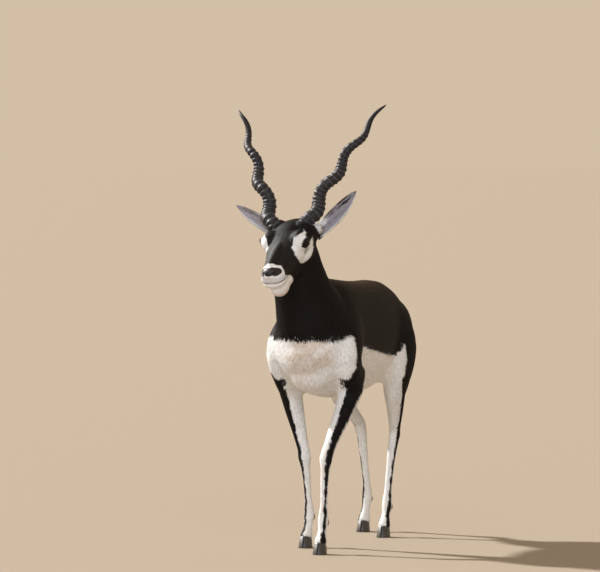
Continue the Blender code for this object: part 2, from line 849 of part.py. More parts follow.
def horn_centre(side, share):
    """A point on the horn's corkscrew centre line."""
    root, along = horn_axis(side)
    out = HEAD_SIDE * side
    out = (out - out.dot(along) * along).normalized()
    back = along.cross(out) * side
    angle = 2 * math.pi * HORN_TURNS * (share - HORN_FIRST_OUTWARD)
    grow = min(1.0, share / 0.10) * (1.0 - 0.45 * share)
    swing = HORN_SPIRAL_RADIUS * grow
    bow = HORN_BOWS[side] * math.sin(math.pi * share)
    centre = root + along * (HORN_LENGTHS[side] + 0.018) * share
    return centre + out * (swing * math.cos(angle) + bow) + back * swing * math.sin(angle)


def horn(side):
    """A corkscrew horn with raised rings on its lower part and a smooth tip."""
    name = "horn_left" if side > 0 else "horn_right"
    shares = []
    step = HORN_RINGED_SHARE / HORN_RINGS
    for k in range(HORN_RINGS):
        fade = min(1.0, 0.4 + 1.6 * (HORN_RINGS - k) / HORN_RINGS)
        shares.append((k * step, -0.5 * HORN_RING_DEPTH * fade))
        shares.append(((k + 0.62) * step, HORN_RING_DEPTH * fade))
    smooth_part = 7
    for k in range(smooth_part):
        share = HORN_RINGED_SHARE + (0.999 - HORN_RINGED_SHARE) * k / (smooth_part - 1)
        shares.append((share, 0.0))
    rows = []
    for share, ridge in shares:
        radius = horn_radius(share) + ridge
        rows.append((*horn_centre(side, share), radius, radius * 1.06, radius * 0.96))
    return loft(name, rows, -HEADING, steps=1, sides=HORN_SIDES)


def ear_line(side, share):
    """The ear's middle line, from its root in the head to its tip."""
    root = head_point(-0.094, side * 0.056, -0.036)
    outward, up, fore = EAR_LEANS[side]
    lean = (HEAD_SIDE * side * outward + CROWN * up + HEADING * fore).normalized()
    sag = HEAD_SIDE * side * 0.010 * math.sin(math.pi * share)
    return root + lean * EAR_LENGTH * share + sag * 0.6


def ear_rows(side, wall, low, high, open_front):
    rows = []
    count = 12
    for i in range(count):
        share = low + (high - low) * i / (count - 1)
        leaf = math.sin(math.pi * min(1.0, 0.20 + 0.80 * share) ** 1.05) ** 0.62
        width = max(EAR_HALF_WIDTH * leaf, 0.0012)
        if share < 0.35:
            width = min(width, 0.0175 + 0.020 * share)
        back = 0.75 * width * (1.0 - 0.45 * share)
        front = 0.32 * back
        if wall:
            width, back = max(width - wall, 0.0008), max(back - wall, 0.0004)
            front = open_front
        rows.append((*ear_line(side, share), width, front, back))
    return rows


def ear(side):
    """A leaf-shaped ear, cupped towards the front and outside."""
    name = "ear_left" if side > 0 else "ear_right"
    facing = HEADING + HEAD_SIDE * side * 0.42 + Vector((0, 0, -0.10))
    shell = loft(name, ear_rows(side, 0, 0.0, 0.995, 0), facing, steps=1, sides=14)
    cup = loft("cup", ear_rows(side, EAR_WALL, 0.26, 0.955, 0.030), facing, steps=1, sides=14)
    boolean(shell, [cup], "DIFFERENCE")
    return keep_largest(shell)


def claw(name, side):
    """One half of a cloven hoof, standing flat on the floor."""
    foot = Vector(LEG_LINES[name][-1])
    middle, normal = coronet_plane(name)
    count = 8
    levels = [(0.0, 1.06, 1.0, 0.0), (0.45, 1.0, 0.93, 0.002), (1.0, 0.90, 0.86, 0.004)]
    bm = bmesh.new()
    rings = []
    for height, width, length, back in levels:
        outline = []
        for i in range(count + 1):
            turn = math.pi * i / count
            x = CLAW_WIDTH * width * math.sin(turn) ** 0.8
            y = -math.cos(turn) * CLAW_LENGTH * length / 2 + back
            if i > count / 2:
                x *= 0.97
            pinch = 0.55 if i == 1 else 1.0
            outline.append((x * pinch, y))
        ring = []
        for x, y in outline:
            px = foot.x + side * (CLAW_HALF_GAP + max(x, 0.0))
            py = foot.y + y
            top = middle.z - (py - middle.y) * normal.y / normal.z - GAP / normal.z
            lean = -0.006 * (1.0 - height) if y < 0 else 0.0
            ring.append(bm.verts.new((px, py + lean, top * height)))
        rings.append(ring)
    size = count + 1
    for lower, upper in zip(rings, rings[1:]):
        for k in range(size):
            n = (k + 1) % size
            bm.faces.new((lower[k], lower[n], upper[n], upper[k]))
    bm.faces.new(reversed(rings[0]))
    bm.faces.new(rings[-1])
    inner = "inner" if side * foot.x < 0 else "outer"
    item = object_from_bmesh(f"hoof_{name}_{inner}", bm)
    return item


def dewclaw(name, side):
    """One of the two small claws behind the fetlock."""
    fetlock = Vector(LEG_LINES[name][FETLOCK_LEVEL])
    root = fetlock + Vector((side * 0.0072, 0.0125, 0.002))
    tip = root + Vector((side * 0.0035, 0.34, -0.94)).normalized() * DEWCLAW_LENGTH
    rows = []
    for share, size in ((0.0, 0.9), (0.35, 1.0), (0.7, 0.78), (1.0, 0.30)):
        place = root.lerp(tip, share)
        rows.append((*place, DEWCLAW_RADIUS * size, DEWCLAW_RADIUS * size, DEWCLAW_RADIUS * size))
    inner = "inner" if side * fetlock.x < 0 else "outer"
    return loft(f"dewclaw_{name}_{inner}", rows, (0, 1, 0), steps=1, sides=8)


def set_on(item, carriers):
    """Cut an object back to the surface of what carries it, less the gap."""
    boolean(item, [grown_copy(c, GAP) for c in carriers], "DIFFERENCE")
    return keep_largest(item)


def finish(item, mat, smooth=True):
    bm = bmesh.new()
    bm.from_mesh(item.data)
    bmesh.ops.triangulate(bm, faces=bm.faces)
    bmesh.ops.translate(bm, vec=WITHERS, verts=bm.verts)
    bm.to_mesh(item.data)
    bm.free()
    item.data.materials.clear()
    item.data.materials.append(mat)
    if smooth:
        item.data.shade_smooth()
        item.data.set_sharp_from_angle(angle=math.radians(50))


def build():
    clear_scene()
    nodes = part_body(body_whole())
    head = head_whole()
    nodes["head"] = head
    horns = [set_on(horn(side), [head]) for side in (1, -1)]
    ears = []
    for side, beside in zip((1, -1), horns):
        ears.append(set_on(ear(side), [head, nodes["neck"], beside]))
    claws = []
    for name in LEG_LINES:
        leg = nodes["leg_" + name]
        for side in (1, -1):
            claws.append(claw(name, side))
            claws.append(set_on(dewclaw(name, side), [leg]))
    for name, item in nodes.items():
        colour = WHITE_COAT if name.startswith("leg") else BLACK_COAT
        finish(item, material(name + "_coat", colour, 0.8))
    for item in ears:
        finish(item, material(item.name + "_coat", EAR_GREY, 0.85))
    for item in horns:
        finish(item, material(item.name + "_horn", HORN_GREY, 0.45))
    for side in (1, -1):
        item = eye(side)
        finish(item, material(item.name + "_gloss", EYE_BROWN, 0.08))
    for item in claws:
        finish(item, material(item.name + "_horn", HOOF_BLACK, 0.5))


build()
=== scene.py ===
"""The looks of a life-size male blackbuck: one skin, a coat of short tufts, horns, eyes and feet."""
import math

import bpy
import numpy as np
from mathutils import Matrix, Vector
from mathutils.bvhtree import BVHTree


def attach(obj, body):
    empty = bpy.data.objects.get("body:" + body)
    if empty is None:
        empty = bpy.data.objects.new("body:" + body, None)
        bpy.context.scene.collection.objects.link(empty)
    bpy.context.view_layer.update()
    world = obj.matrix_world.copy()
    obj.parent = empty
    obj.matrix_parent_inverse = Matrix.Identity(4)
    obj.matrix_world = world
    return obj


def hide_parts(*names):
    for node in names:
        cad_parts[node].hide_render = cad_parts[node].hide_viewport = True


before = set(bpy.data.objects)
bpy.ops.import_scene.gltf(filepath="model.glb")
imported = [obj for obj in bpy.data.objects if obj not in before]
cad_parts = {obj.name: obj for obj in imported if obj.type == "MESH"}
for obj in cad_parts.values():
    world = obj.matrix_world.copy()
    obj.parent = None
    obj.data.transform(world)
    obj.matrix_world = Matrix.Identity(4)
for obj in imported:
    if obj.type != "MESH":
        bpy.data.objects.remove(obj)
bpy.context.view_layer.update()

TRUNK_AND_HEAD = ("torso", "neck", "head", "tail")
LEGS = ("leg_front_left", "leg_front_right", "leg_hind_left", "leg_hind_right")
EARS = ("ear_left", "ear_right")
PARTS = TRUNK_AND_HEAD + LEGS + EARS
TORSO, NECK, HEAD, TAIL = range(4)
FEET = ("front_left", "front_right", "hind_left", "hind_right")
SIDES = {"left": 1, "right": -1}

# The point on the floor under the withers, from which the body's markings are measured
WITHERS = Vector((0.0038, -0.1365, 0.0))

# The head's own frame: forward along the face, to the animal's left, and up
EYE_MIDPOINT = Vector((-0.018, -0.300, 0.862)) + WITHERS
HEAD_TURN = math.radians(9.5)
HEAD_PITCH = math.radians(35.0)
HEAD_ROLL = math.radians(3.0)
HEADING = Vector((-math.sin(HEAD_TURN), -math.cos(HEAD_TURN), 0.0))
ROLL = Matrix.Rotation(HEAD_ROLL, 3, HEADING)
HEAD_SIDE = ROLL @ Vector((math.cos(HEAD_TURN), -math.sin(HEAD_TURN), 0.0))
CROWN = ROLL @ Vector((0, 0, 1))
HEAD_FORWARD = HEADING * math.cos(HEAD_PITCH) - CROWN * math.sin(HEAD_PITCH)
HEAD_UP = HEADING * math.sin(HEAD_PITCH) + CROWN * math.cos(HEAD_PITCH)

# The place and slope of the plane where the head meets the neck
POLL = Vector((-0.012, -0.229, 0.869)) + WITHERS
POLL_NORMAL = Vector((-0.13, -0.90, 0.41)).normalized()

EYE_RADIUS = 0.0170
EYE_OUT = 0.0540
EYE_BACK = 0.0070
EYE_CLEARANCE = 0.0007
CORNEA_BULGE = 0.035
LID_HALF_LENGTH = 0.0160
LID_HALF_HEIGHT = 0.0116
LID_RIM = 0.0020
LID_WITHOUT_HAIR = 0.0022
LASHES_A_LID = 60
LASH_WIDTH = 0.0006

HORN_LENGTHS = {1: 0.400, -1: 0.412}
HORN_BASE_RADIUS = 0.0198
HORN_TURNS = 3.35
HORN_FIRST_OUTWARD = 0.115
HORN_SPIRAL_RADIUS = 0.0105
HORN_ROOT_OUT = {1: 0.038, -1: 0.050}
HORN_ROOT_BACK = 0.062
HORN_ROOT_UP = 0.006
HORN_SUNK_LENGTH = 0.018
HORN_ROUNDS = 36
HORN_STEPS = 340
HORN_LEAN = (0.172, 0.175, 0.320)
HORN_BOWS = {1: -0.012, -1: 0.003}
HORN_RINGS = 26
HORN_RINGED_SHARE = 0.80
HORN_TIP_RADIUS = 0.0004
HORN_TAPER = 0.52
RING_HEIGHT = 0.0026
RING_VALLEY = 0.0007

EAR_LENGTH = 0.157
EAR_ROOT = (-0.094, 0.056, -0.036)
EAR_BOW = 0.006
EAR_LEANS = {1: (0.695, 0.690, -0.13), -1: (0.860, 0.570, 0.03)}

MOUTH_CENTRE_FORWARD = 0.088
MOUTH_CENTRE_UP = -0.034
MOUTH_CORNER_RISE = 0.010

NODE_OVERLAP = 0.0004
SKIN_VOXEL = 0.0017
SKIN_TRIANGLES = 160000
BODY_COAT_DEPTH = 0.0028
HEAD_COAT_DEPTH = 0.0010
EAR_SINK = 0.010

BLACK = np.array((0.0052, 0.0042, 0.0043))
BROWN = np.array((0.075, 0.036, 0.018))
WHITE = np.array((0.80, 0.785, 0.77))
TAN = np.array((0.56, 0.40, 0.26))
GREY = np.array((0.20, 0.19, 0.20))
LIP_SHADE_GREY = np.array((0.46, 0.44, 0.45))
EAR_GREY = np.array((0.30, 0.285, 0.32))

# Middle lines of the legs from the trunk to the floor, from under the withers
LEG_LINES = {
    "leg_front_left": [
        (0.097, -0.020, 0.510), (0.092, -0.012, 0.455), (0.080, -0.055, 0.392),
        (0.068, -0.098, 0.335), (0.059, -0.130, 0.288), (0.054, -0.146, 0.238),
        (0.051, -0.151, 0.140), (0.050, -0.156, 0.090), (0.050, -0.184, 0.008),
    ],
    "leg_front_right": [
        (-0.097, -0.025, 0.510), (-0.093, -0.005, 0.452), (-0.082, 0.006, 0.388),
        (-0.071, 0.016, 0.328), (-0.062, 0.024, 0.280), (-0.058, 0.032, 0.230),
        (-0.054, 0.045, 0.136), (-0.053, 0.050, 0.089), (-0.053, 0.018, 0.008),
    ],
    "leg_hind_left": [
        (0.100, 0.380, 0.500), (0.092, 0.415, 0.445), (0.084, 0.450, 0.385),
        (0.074, 0.484, 0.335), (0.065, 0.508, 0.290), (0.059, 0.488, 0.205),
        (0.057, 0.474, 0.140), (0.056, 0.463, 0.089), (0.056, 0.430, 0.008),
    ],
    "leg_hind_right": [
        (-0.100, 0.405, 0.500), (-0.092, 0.450, 0.438), (-0.085, 0.505, 0.386),
        (-0.075, 0.560, 0.346), (-0.066, 0.605, 0.306), (-0.060, 0.624, 0.214),
        (-0.057, 0.637, 0.150), (-0.056, 0.642, 0.097), (-0.056, 0.605, 0.008),
    ],
}

# Tufts of each body part at its fine end and at its coarse end: length, width and lift in
# metres, and their number in a square metre
BODY_TUFTS = ((0.0112, 0.0021, 0.0009, 150000), (0.0112, 0.0021, 0.0009, 150000))
HEAD_TUFTS = ((0.0038, 0.0011, 0.0003, 370000), (0.0088, 0.0019, 0.0007, 180000))
LEG_TUFTS = ((0.0062, 0.0015, 0.0004, 240000), (0.0110, 0.0021, 0.0009, 150000))
TAIL_TUFTS = ((0.0220, 0.0024, 0.0020, 200000), (0.0340, 0.0024, 0.0020, 200000))
EAR_TUFTS = ((0.0062, 0.0012, 0.0004, 280000), (0.0062, 0.0012, 0.0004, 280000))
TUFT_LENGTH_BESIDE_EAR = 0.0045
EAR_ROOT_REACH = 0.042
TUFT_ROOT_DEPTH = 0.0004
# How far behind the withers the torso's coat is parted in two
TORSO_SPLIT = 0.22
BAKE_PATCH = 0.003

CLAW_BEVELS = (("hoof", 0.0012), ("dewclaw", 0.0008))
CLAW_FLAT_ANGLE = math.radians(4)
CLAW_BEVEL_ANGLE = math.radians(24)
CLAW_SMOOTH_ANGLE = math.radians(40)

# The camera's view: the photo's middle from under the withers, and its width in metres there
PHOTO_MIDDLE = Vector((-0.059, -0.018, 0.7365))
PHOTO_WIDTH = 1.68
CAMERA_DISTANCE = 15.0
CAMERA_TURN = math.radians(17)
CAMERA_RISE = math.radians(2)
SENSOR_WIDTH = 36

FLOOR_SIZE = 160
FLOOR_LEVEL = -0.0005
FLOOR_COLOUR = (0.292, 0.242, 0.184)
SKY_COLOUR = (0.98, 0.79, 0.575)
SKY_STRENGTH = 0.66
# Name, strength, colour, spread in degrees and direction of each light
LIGHTS = (
    ("key_light", 7.2, (1.0, 0.98, 0.96), 3, (0.80, -0.20, -0.56)),
    ("fill_light", 2.0, (0.72, 0.84, 1.0), 50, (-0.20, 0.95, -0.25)),
)

draw = np.random.default_rng(11)


# Small helpers for meshes

def only(item):
    """Leave one object selected and active."""
    bpy.ops.object.select_all(action="DESELECT")
    item.select_set(True)
    bpy.context.view_layer.objects.active = item


def joined(items, name):
    """One object made of several, under a new name."""
    only(items[0])
    for item in items:
        item.select_set(True)
    bpy.ops.object.join()
    item = bpy.context.view_layer.objects.active
    item.name = item.data.name = name
    return item


def apply_modifier(item, kind, **values):
    only(item)
    modifier = item.modifiers.new(kind.lower(), kind)
    for key, value in values.items():
        setattr(modifier, key, value)
    bpy.ops.object.modifier_apply(modifier=modifier.name)


def in_edit_mode(item, *steps):
    """Run edit-mode steps on the whole mesh."""
    only(item)
    bpy.ops.object.mode_set(mode="EDIT")
    bpy.ops.mesh.select_all(action="SELECT")
    for step in steps:
        step()
    bpy.ops.object.mode_set(mode="OBJECT")


def copy_of_node(name):
    """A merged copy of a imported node's mesh, to start a piece from."""
    item = bpy.data.objects.new(name + "_copy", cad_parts[name].data.copy())
    bpy.context.scene.collection.objects.link(item)
    item.data.materials.clear()
    in_edit_mode(item, lambda: bpy.ops.mesh.remove_doubles(threshold=0.00001))
    only(item)
    if item.data.has_custom_normals:
        bpy.ops.mesh.customdata_custom_splitnormals_clear()
    return item


def numbers_of(elements, field, columns=1, kind=float):
    """The numbers in one field of a mesh's elements, one row for each."""
    flat = np.empty(len(elements) * columns, dtype=kind)
    elements.foreach_get(field, flat)
    return flat.reshape(-1, columns) if columns > 1 else flat


def points_of(item):
    return numbers_of(item.data.vertices, "co", 3)


def normals_of(item):
    return numbers_of(item.data.vertices, "normal", 3)


def edges_of(item):
    return numbers_of(item.data.edges, "vertices", 2, np.int64)


def corners_of(item):
    return numbers_of(item.data.loops, "vertex_index", kind=np.int64)


def triangles_of(item):
    item.data.calc_loop_triangles()
    return numbers_of(item.data.loop_triangles, "vertices", 3, np.int64)


def move_points(item, points):
    item.data.vertices.foreach_set("co", points.ravel())
    item.data.update()


def add_layer(item, name, values):
    """Keep a number or a vector for each point, for the materials to read."""
    kind, field = ("FLOAT", "value") if values.ndim == 1 else ("FLOAT_VECTOR", "vector")
    layer = item.data.attributes.new(name, kind, "POINT")
    layer.data.foreach_set(field, values.astype(np.float32).ravel())


def paint(item, colours):
    layer = item.data.color_attributes.new("coat", "FLOAT_COLOR", "POINT")
    rgba = np.ones((len(colours), 4), dtype=np.float32)
    rgba[:, :3] = colours
    layer.data.foreach_set("color", rgba.ravel())


def neighbour_mean(values, edges):
    """The mean of each point's neighbours, for one or more columns of values."""
    count = np.bincount(edges.ravel(), minlength=len(values))
    out = np.empty_like(values)
    for k in range(values.shape[1]):
        column = values[:, k]
        total = np.bincount(edges[:, 0], weights=column[edges[:, 1]], minlength=len(values))
        total += np.bincount(edges[:, 1], weights=column[edges[:, 0]], minlength=len(values))
        out[:, k] = total / np.maximum(count, 1)
    return out


def relaxed(values, edges, strength, rounds):
    """Values pulled towards their neighbours; strength is one number a point."""
    for _ in range(rounds):
        values = values + (neighbour_mean(values, edges) - values) * strength[:, None]
    return values


def smoothstep(low, high, value):
    share = np.clip((value - low) / (high - low), 0, 1)
    return share * share * (3 - 2 * share)


def unit(vectors):
    return vectors / np.maximum(np.linalg.norm(vectors, axis=1, keepdims=True), 1e-9)


def ripple(points, size, seed):
    """Smooth wavering numbers between about -1 and 1, size metres from crest to crest."""
    waves = np.random.default_rng(seed)
    total = np.zeros(len(points))
    for _ in range(6):
        direction = waves.normal(size=3)
        direction *= 2 * math.pi / (size * np.linalg.norm(direction)) * waves.uniform(0.6, 1.5)
        total += np.sin(points @ direction + waves.uniform(0, 7))
    return total / 3.0


def outline_distance(across, up, outline):
    """How far inside a closed outline each point lies; negative outside."""
    corners = np.array(outline)
    nearest = np.full(len(across), 1e9)
    inside = np.zeros(len(across), dtype=bool)
    for (ax, ay), (bx, by) in zip(corners, np.roll(corners, -1, axis=0)):
        ex, ey = bx - ax, by - ay
        t = np.clip(((across - ax) * ex + (up - ay) * ey) / (ex * ex + ey * ey), 0, 1)
        nearest = np.minimum(nearest, np.hypot(across - ax - t * ex, up - ay - t * ey))
        crosses = (ay > up) != (by > up)
        where = ax + (up - ay) * ex / (ey if ey else 1e-9)
        inside ^= crosses & (across < where)
    return np.where(inside, nearest, -nearest)


# Places on the head

def head_point(forward, side, up):
    return EYE_MIDPOINT + HEAD_FORWARD * forward + HEAD_SIDE * side + HEAD_UP * up


def head_coordinates(points):
    """Forward, side and up of points in the head's frame."""
    away = points - np.array(EYE_MIDPOINT)
    return away @ np.array(HEAD_FORWARD), away @ np.array(HEAD_SIDE), away @ np.array(HEAD_UP)


def from_withers(points):
    return points - np.array(WITHERS)


def distance_to(points, place):
    return np.linalg.norm(points - np.array(place), axis=1)


def side_of(name):
    """1 for a left piece, -1 for a right one."""
    return SIDES[name.split("_")[-1]]


def eye_centre(side):
    return head_point(-EYE_BACK, side * EYE_OUT, 0.0)


def eye_outward(side):
    return (HEAD_SIDE * side + HEAD_FORWARD * 0.48 + HEAD_UP * 0.02).normalized()


def lid_axes(side):
    """The way an eye looks, the long axis of its opening and the axis across that."""
    out = eye_outward(side)
    along = HEAD_FORWARD * 0.99 - HEAD_UP * 0.06
    along = (along - out * out.dot(along)).normalized()
    return np.array(out), np.array(along), np.array(out.cross(along))


def lid_gap(points):
    """How far outside the nearer eye's almond opening each point lies, about in metres."""
    gap = np.full(len(points), 0.2)
    for side in SIDES.values():
        out, along, across = lid_axes(side)
        away = points - np.array(eye_centre(side))
        share = np.hypot(away @ along / LID_HALF_LENGTH, away @ across / LID_HALF_HEIGHT)
        own = (share - 1) * (LID_HALF_LENGTH + LID_HALF_HEIGHT) / 2
        gap = np.where(away @ out > 0, np.minimum(gap, own), gap)
    return gap


def mouth_height(points):
    """How far above the line of the mouth each point lies, and 1 to 0 past its corners."""
    forward, side, up = head_coordinates(points)
    swing = np.arctan2(np.abs(side), forward - MOUTH_CENTRE_FORWARD)
    line = MOUTH_CENTRE_UP - MOUTH_CORNER_RISE * (1 - np.cos(swing))
    return up - line, smoothstep(math.radians(86), math.radians(74), swing)


def ear_line(side, share):
    """A point on the ear's middle line, from its root at 0 to its tip at 1."""
    forward, out, above = EAR_ROOT
    root = head_point(forward, side * out, above)
    outward, up, fore = EAR_LEANS[side]
    lean = (HEAD_SIDE * side * outward + CROWN * up + HEADING * fore).normalized()
    bow = HEAD_SIDE * side * EAR_BOW * math.sin(math.pi * share)
    return root + lean * EAR_LENGTH * share + bow


def ear_way(side):
    """The way an ear points, one metre long."""
    way = np.array(ear_line(side, 1.0) - ear_line(side, 0.0))
    return way / np.linalg.norm(way)


# The coat's markings, as depths in metres inside each patch. Edges are pairs of measures from
# the withers, or in the head's own frame; a stripe has a middle and a half-width by height.
THIGH_EDGE = ((0.400, 0.425), (0.411, 0.418), (0.441, 0.393), (0.484, 0.388), (0.518, 0.396),
              (0.562, 0.383))
RIGHT_THIGH_SHIFT = ((0.385, 0.055), (0.440, 0.035), (0.500, 0.025), (0.560, 0.0))
LEG_STRIPES = {
    "front": (((0.03, 52), (0.20, 50), (0.34, 50), (0.45, 48)),
              ((0.03, 30), (0.10, 27), (0.20, 29), (0.34, 38), (0.45, 46))),
    "hind": (((0.05, 42), (0.20, 34), (0.28, 15), (0.34, -10), (0.40, -20)),
             ((0.05, 26), (0.20, 26), (0.28, 34), (0.34, 48), (0.40, 55))),
}
LEG_STRIPE_TOPS = {"front": 0.44, "hind": 0.385}
TAIL_WHITE_EDGE = ((0.54, 0.664), (0.64, 0.655), (0.70, 0.58))
FLANK_LINE = ((-0.30, 0.594), (-0.14, 0.596), (-0.116, 0.604), (-0.02, 0.590), (0.0, 0.573),
              (0.07, 0.558), (0.17, 0.546), (0.28, 0.532), (0.35, 0.530), (0.383, 0.560),
              (0.45, 0.600), (0.60, 0.660))
EYE_RING = ((-0.053, 0.004), (-0.046, 0.014), (-0.032, 0.019), (-0.012, 0.025), (0.007, 0.027),
            (0.020, 0.020), (0.029, 0.009), (0.041, -0.010), (0.034, -0.032), (0.020, -0.052),
            (0.004, -0.066), (-0.022, -0.064), (-0.036, -0.050), (-0.043, -0.034),
            (-0.046, -0.014))
MUZZLE_EDGE = ((-0.120, 0.056), (-0.100, 0.058), (-0.075, 0.062), (-0.055, 0.072), (-0.040, 0.093),
               (-0.029, 0.108), (-0.016, 0.101), (-0.004, 0.098), (0.006, 0.106), (0.020, 0.112))
PAD_UPPER_EDGE = ((0.0, 0.1235), (0.0156, 0.1138), (0.026, 0.1070), (0.034, 0.1090))
PAD_HALF_WIDTH = 0.0305
PAD_LOWER_EDGE = ((0.0, -0.0080), (0.018, -0.0121), (0.023, -0.0145), (0.034, -0.0135))
RING_INNER_EDGE = ((-0.050, 0.055), (-0.035, 0.0434), (0.0065, 0.0435), (0.026, 0.0370),
                   (0.0425, 0.033))


def along_line(table, value):
    """Straight-line values between the pairs of a table."""
    pairs = np.array(table)
    return np.interp(value, pairs[:, 0], pairs[:, 1])


def front_or_hind(leg):
    """The word for a leg's end of the body, from its name."""
    return leg.split("_")[1]


def leg_place(name, spots):
    """Side and front offsets from a leg's middle line, of points measured from the withers."""
    line = np.array(LEG_LINES[name])[::-1]
    x, y = (spots[:, k] - np.interp(spots[:, 2], line[:, 2], line[:, k]) for k in range(2))
    return x * side_of(name), -y


def leg_black(name, spots):
    """The dark stripe down the outside of a leg, set by turns in degrees round its middle line."""
    outward, front = leg_place(name, spots)
    turn = np.degrees(np.arctan2(front, outward))
    middle, half = (along_line(table, spots[:, 2]) for table in LEG_STRIPES[front_or_hind(name)])
    away = np.abs((turn - middle + 180) % 360 - 180)
    return (half - away) * math.pi / 180 * np.hypot(outward, front)


def trunk_black(spots, normals):
    """The black of the back, the shoulders and the outsides of the thighs."""
    x, y, z = np.abs(spots[:, 0]), spots[:, 1], spots[:, 2]
    outer = 0.02 * (normals[:, 0] * np.sign(spots[:, 0]) + 0.25)
    back = z - along_line(FLANK_LINE, y)
    shoulder = np.minimum.reduce([y + 0.103, -0.010 - y, x - 0.080, z - 0.38, outer])
    step_back = np.where(spots[:, 0] < 0, along_line(RIGHT_THIGH_SHIFT, z), 0.0)
    thigh = np.minimum.reduce([y - along_line(THIGH_EDGE, z) - step_back, x - 0.050, z - 0.36, outer])
    black = np.maximum.reduce([back, shoulder, thigh])
    under_tail = np.minimum.reduce([0.010 + (0.66 - z) * 0.25 - x, 0.64 - z, y - 0.50])
    return np.minimum(black, -under_tail)


def nose_pad(points):
    """The bare pad between and round the nostrils."""
    forward, side, up = head_coordinates(points)
    side = np.abs(side)
    pad = np.minimum(forward - along_line(PAD_UPPER_EDGE, side),
                     up - along_line(PAD_LOWER_EDGE, side))
    return np.minimum(pad, PAD_HALF_WIDTH - side)


def white_face(points):
    """The white round the eyes and on the muzzle and chin."""
    forward, side, up = head_coordinates(points)
    inner = np.abs(side) - along_line(RING_INNER_EDGE, forward) + 0.03 * smoothstep(-0.02, -0.04, up)
    ring = np.minimum(outline_distance(forward, up, EYE_RING), inner)
    muzzle = forward - along_line(MUZZLE_EDGE, up)
    return np.maximum(ring, muzzle)


def mixed(base, colour, weight):
    """A colour laid over others, by a weight for each."""
    return base + (colour - base) * np.clip(weight, 0, 1)[:, None]


def coat_colour(points, normals, part):
    """Colour of the coat at each point; part is the number of the body part there."""
    spots = from_withers(points)
    waver = ripple(points, 0.018, 3) * 0.0028 + ripple(points, 0.006, 4) * 0.0014
    black = trunk_black(spots, normals) + waver
    for name in LEGS:
        own = part == PARTS.index(name)
        high = own & (spots[:, 2] > LEG_STRIPE_TOPS[front_or_hind(name)])
        from_trunk = black[high]
        black[own] = leg_black(name, spots[own]) + waver[own] * 0.6
        black[high] = np.maximum(black[high], from_trunk)
    tail = part == TAIL
    black[tail] = spots[tail, 1] - along_line(TAIL_WHITE_EDGE, spots[tail, 2])
    white = smoothstep(-0.0012, 0.0012, -black)
    colour = np.repeat(BLACK[None], len(points), axis=0)
    tint = 0.5 + 0.5 * ripple(points, 0.030, 5)
    # Brown laid on the upward-facing hair of the back: partly the coat's reddish-brown, partly a painted
    # sheen of light on the top of the back.
    top = smoothstep(0.62, 1.0, normals[:, 2]) * smoothstep(-0.08, 0.06, spots[:, 1])
    colour = mixed(colour, BROWN, 0.03 * tint + 0.36 * top)
    pale = np.repeat(WHITE[None], len(points), axis=0)
    front = smoothstep(-0.13, -0.17, spots[:, 1])
    chest = front * smoothstep(0.60, 0.54, spots[:, 2])
    stain = smoothstep(-0.1, 0.7, ripple(points, 0.06, 6))
    stain += 0.8 * smoothstep(0.05, 0.01, np.abs(spots[:, 0]))
    bib = smoothstep(0.080, 0.030, np.abs(spots[:, 0] - 0.020)) * smoothstep(0.495, 0.545, spots[:, 2])
    bib *= 0.7 + 0.4 * ripple(points, 0.025, 6)
    pale = mixed(pale, TAN, 0.30 * chest * stain + 0.52 * front * bib)
    colour = mixed(colour, pale, white)
    colour[part == HEAD] = head_colour(points[part == HEAD])
    for name in EARS:
        side = side_of(name)
        root = ear_line(side, 0.10) + CROWN * 0.015
        tuft = smoothstep(0.032, 0.024, distance_to(points, root) + waver)
        colour = mixed(colour, WHITE, 0.9 * tuft)
        own = part == PARTS.index(name)
        colour[own] = ear_colour(points[own], normals[own], side)
    return colour


def head_colour(points):
    """Black face with white round the eyes, painted shade on the upper lip, a dark mouth line and a
    beige chin.
    """
    forward, side, up = head_coordinates(points)
    waver = ripple(points, 0.010, 7) * 0.0010 + ripple(points, 0.0035, 8) * 0.0006
    colour = np.repeat(BLACK[None], len(points), axis=0)
    cheek = smoothstep(-0.035, -0.085, forward) * smoothstep(0.0, -0.03, up)
    colour = mixed(colour, BROWN, 0.02 + 0.14 * cheek)
    pale = smoothstep(-0.0008, 0.0008, white_face(points) + waver)
    colour = mixed(colour, WHITE, pale)
    chin = smoothstep(-0.062, -0.092, up) * pale
    colour = mixed(colour, TAN, 0.50 * chin)
    over, fade = mouth_height(points)
    # Painted shade: the white of the upper lip greyed just above the mouth line.
    shaded_upper_lip = smoothstep(0.0, 0.003, over) * smoothstep(0.020, 0.010, over) * fade * pale
    colour = mixed(colour, LIP_SHADE_GREY, 0.65 * shaded_upper_lip * smoothstep(0.085, 0.10, forward))
    # The mouth line painted near black: partly the lips' dark skin, partly painted shade in the crease
    # between the lips.
    colour = mixed(colour, BLACK * 2, 0.9 * fade * smoothstep(0.0024, 0.0012, np.abs(over)))
    back = np.clip(-(forward + 0.015) / 0.036, 0, 1)
    corner = np.hypot(forward + 0.015 + 0.036 * back, up + 0.001 - 0.001 * back)
    corner += 0.0030 * back + 0.05 * (np.abs(side) < 0.030) - 0.0172
    colour = mixed(colour, BLACK, smoothstep(0.0010, -0.0010, corner + waver))
    tear = np.hypot((forward + 0.004) / 1.5, up + 0.030)
    colour = mixed(colour, GREY, 0.70 * smoothstep(0.010, 0.005, tear) * (np.abs(side) > 0.02))
    colour = mixed(colour, BLACK, smoothstep(0.0030, 0.0018, lid_gap(points) + waver))
    return mixed(colour, BLACK * 0.8, smoothstep(-0.0006, 0.0006, nose_pad(points)))


